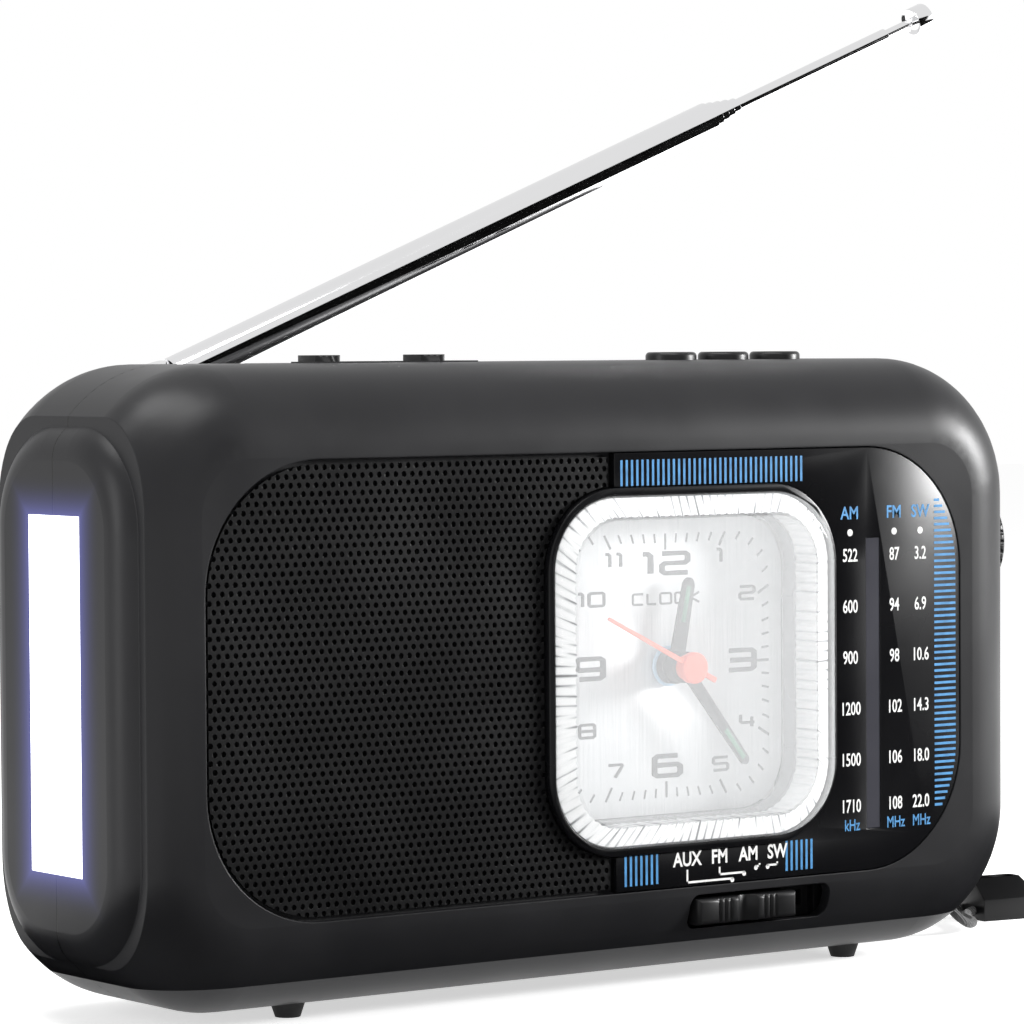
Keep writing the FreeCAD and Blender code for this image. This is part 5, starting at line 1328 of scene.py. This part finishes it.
    def turned(self, item: bpy.types.Object, angle: float) -> bpy.types.Object:
        """Turns a hand made at twelve to its angle and puts it on the clock's axis."""
        item.rotation_euler = (0, math.radians(angle), 0)
        item.location = Vector(((self.across + CASE_X) * MM, 0, self.level * MM))
        return settle(item, item.name)

    def point(self, x: float, depth: float, z: float) -> Vector:
        """A place on a hand at twelve, about the clock's axis."""
        return Vector((x, depth + FRONT_Y, z)) * MM

    def baton(self, name: str, angle: float, length: float, width: float, front: float, back: float,
              collar: float, collar_back: float, inlay: tuple[float, float]) -> None:
        """Makes the hour or the minute hand: a round-ended baton with a green inlay.

        Args:
            name: "hour" or "minute".
            angle: Its turn clockwise from twelve, in degrees.
            length: From the axis to its tip, in millimetres.
            width: Its width.
            front: The depth of its front face.
            back: The depth of its back face.
            collar: The radius of the collar at its root.
            collar_back: How deep the collar goes.
            inlay: Where the inlay starts and ends, from the axis.
        """
        hand = add_box(name + "_hand_piece", self.point(-width / 2, front, 0),
                       self.point(width / 2, back, length))
        bevel_edges(hand, lambda start, end: along_y(start, end) and start.z > length / 2 * MM,
                    width * 0.48 * MM, 8)
        for vertex in hand.data.vertices:
            if vertex.co.z > length / 2 * MM:
                vertex.co.x *= 0.78
        root = add_bar("collar", self.point(0, front, 0), self.point(0, collar_back, 0), collar * MM)
        cut(hand, root, operation="UNION")
        cut(hand, add_bar("bore", self.point(0, front - 1, 0), self.point(0, collar_back + 1, 0), 1.5 * MM))
        break_edges(hand, 0.1 * MM)
        self.turned(hand, angle)
        finish_piece(hand, name + "_hand", Finishes.HAND_BLACK, [name + "_hand"])
        green = add_box(name + "_hand_inlay", self.point(-0.55, front - 0.05, inlay[0]),
                        self.point(0.55, front + 0.1, inlay[1]))
        break_edges(green, 0.03 * MM)
        self.turned(green, angle)
        finish_piece(green, name + "_hand", Finishes.HAND_GREEN)

    def sweep(self) -> None:
        """Makes the thin red hand with its round cap and short tail."""
        hand = add_box("second_hand_piece", self.point(-0.55, 0.0, -6.3), self.point(0.55, 0.6, 25.0))
        for vertex in hand.data.vertices:
            if vertex.co.z > 0:
                vertex.co.x *= 0.6
        cap = add_bar("cap", self.point(0, -0.5, 0), self.point(0, 1.2, 0), 3.3 * MM)
        bevel_edges(cap, lambda start, end: max(start.y, end.y) < (-0.4 + FRONT_Y) * MM, 0.5 * MM, 4)
        neck = add_bar("neck", self.point(0, 0.9, 0), self.point(0, 3.2, 0), 2.6 * MM)
        cut(hand, cap, neck, operation="UNION")
        break_edges(hand, 0.08 * MM)
        self.turned(hand, 296.7)
        finish_piece(hand, "second_hand", Finishes.HAND_RED, ["second_hand"])


# ---- Controls ----------------------------------------------------------------------------------------------

@dataclass
class BandKnob:
    """The sliding knob under the panel: two lobes with upright grooves beside a scooped waist."""

    left: float = 22.05
    width: float = 26.5
    height: float = 5.5
    level: float = 16.0
    front: float = -0.8
    back: float = 7.2

    def build(self) -> None:
        """Makes the knob."""
        low, high = self.level - self.height / 2, self.level + self.height / 2
        knob = add_box("band_knob_piece", place(self.left, self.front, low),
                       place(self.left + self.width, self.back, high))
        bevel_edges(knob, at_depth(self.front), 1.0 * MM, 4)
        middle = self.left + self.width / 2
        waist = add_bar("waist", place(middle, self.front - 1.2, low - 1),
                        place(middle, self.front - 1.2, high + 1), 3.0 * MM, 40)
        cut(knob, waist)
        for offset in (-7.6, -6.1, -4.6, 4.6, 6.1, 7.6):
            cut(knob, add_bar("groove", place(middle + offset, self.front - 0.1, low - 1),
                              place(middle + offset, self.front - 0.1, high + 1), 0.45 * MM, 12))
        break_edges(knob, 0.15 * MM)
        finish_piece(knob, "band_switch_knob", Finishes.KNOB, ["band_switch_knob"])


@dataclass
class TopControls:
    """The slide switches and the three domed buttons on the top."""

    depth: float = 25.0
    top: float = 131.8
    nub: tuple[float, float, float] = (6.1, 6.4, 1.6)
    nubs: tuple = (("lamp_switch", -55.2), ("mode_switch", -29.3))
    buttons: tuple = (("previous_button", 35.3), ("play_button", 49.6), ("next_button", 63.9))
    radius: float = 5.5
    rise: float = 1.7

    def build(self) -> None:
        """Makes the switch nubs and the buttons."""
        for name, across in self.nubs:
            self.make_nub(name, across)
        for name, across in self.buttons:
            self.make_button(name, across)

    def make_nub(self, name: str, across: float) -> None:
        """Makes one nub with three grip ridges."""
        width, deep, rise = self.nub
        nub = add_box(name + "_nub", place(across - width / 2, self.depth - deep / 2, self.top - 3.1),
                      place(across + width / 2, self.depth + deep / 2, self.top + rise))
        for offset in (-1.5, 0, 1.5):
            groove = add_bar("groove", place(across + offset, self.depth - deep, self.top + rise + 0.15),
                             place(across + offset, self.depth + deep, self.top + rise + 0.15), 0.42 * MM, 12)
            cut(nub, groove)
        break_edges(nub, 0.2 * MM)
        finish_piece(nub, name + "_knob", Finishes.KNOB, [name + "_knob"])

    def make_button(self, name: str, across: float) -> None:
        """Makes one round button with a low dome."""
        button = add_bar(name + "_cap", place(across, self.depth, self.top - 2.4),
                         place(across, self.depth, self.top + self.rise), self.radius * MM, 64)
        top = (self.top + self.rise) * MM
        bevel_edges(button, lambda start, end: min(start.z, end.z) > top - 1e-6, 0.9 * MM, 5)
        edit(button, faces=lambda middle, normal: normal.z > 0.9 and middle.z > top - 1e-6)
        bpy.ops.mesh.inset(thickness=2.4 * MM)
        bpy.ops.transform.translate(value=(0, 0, -0.25 * MM))
        leave_edit()
        smooth(button, 40)
        finish_piece(button, name, Finishes.KNOB, [name])


@dataclass
class Antenna:
    """The chromed tip of the antenna: a thin rod and a turned cap."""

    pivot: tuple[float, float, float] = (-84.65, 57.0, 123.5)
    rise: float = 21.74
    cap_start: float = 232.1
    cap_length: float = 4.6
    cap_radius: float = 3.15
    rod_radius: float = 1.0
    rod_start: float = 85.0

    def build(self) -> None:
        """Makes the rod and its cap."""
        rise = math.radians(self.rise)
        along = Vector((math.cos(rise), 0, math.sin(rise)))
        zero = place(*self.pivot)
        rod = add_bar("antenna_tip", zero + along * self.rod_start * MM,
                      zero + along * (self.cap_start + 1) * MM, self.rod_radius * MM, 32)
        cap = add_bar("cap", zero + along * self.cap_start * MM,
                      zero + along * (self.cap_start + self.cap_length) * MM, self.cap_radius * MM, 48)
        edit(cap, faces=lambda middle, normal: normal.dot(along) < -0.9)
        bpy.ops.mesh.inset(thickness=0.9 * MM)
        bpy.ops.transform.translate(value=along * 0.8 * MM)
        leave_edit()
        break_edges(cap, 0.35 * MM, 3)
        tip = join("antenna_tip", [rod, cap])
        smooth(tip, 40)
        finish_piece(tip, "antenna_rod", Finishes.CHROME, ["antenna_rod"])


# ---- Carried-over pieces -----------------------------------------------------------------------------------

DRESSED = {
    Finishes.ABS: ("front_shell", "rear_shell", "battery_door"),
    Finishes.KNOB: ("tuning_knob", "volume_knob", "time_set_knob", "alarm_set_knob", "phone_socket",
                    "power_socket", "band_switch"),
    Finishes.ZINC: ("case_screws", "speaker_basket", "pointer_rail", "tuning_bearing", "volume_control",
                    "top_switches", "battery_contacts"),
    Finishes.CHROME: ("antenna_screw", "antenna_knuckle", "antenna_pin",
                      *(f"antenna_tube_{number}" for number in range(1, 7))),
    Finishes.RUBBER: ("feet",),
    Finishes.LAMP: ("lamp_lens",),
    Finishes.WHITE_ACETAL: ("lamp_reflector", "clock_movement", "dial_pointer", "tuning_capacitor",
                            "tuning_drum"),
    Finishes.SMOKE: ("pointer_window",),
    Finishes.BOARD: ("lamp_board", "key_board", "main_board"),
    Finishes.PAPER: ("speaker_cone",),
    Finishes.FERRITE: ("speaker_magnet", "ferrite_rod"),
    Finishes.SLEEVE: ("batteries",),
}


def dress_carried_nodes() -> None:
    """Gives every CAD node that stays its finish."""
    for finish, names in DRESSED.items():
        for name in names:
            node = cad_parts[name]
            node.data.materials.clear()
            node.data.materials.append(finish.material())
            LOG.info("%s dressed in %s", name, finish.value.name)


def main() -> None:
    """Builds the radio's looks and its studio."""
    logging.basicConfig(level=logging.INFO, format="%(asctime)s %(name)s: %(message)s")
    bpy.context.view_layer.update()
    bpy.context.scene.view_settings.view_transform = "Standard"
    Camera().build()
    Strap().build()
    Studio().build()
    dress_carried_nodes()
    Grille().build()
    ScalePanel().build()
    Clock().build()
    BandKnob().build()
    TopControls().build()
    Antenna().build()


if __name__ == "__main__":
    main()
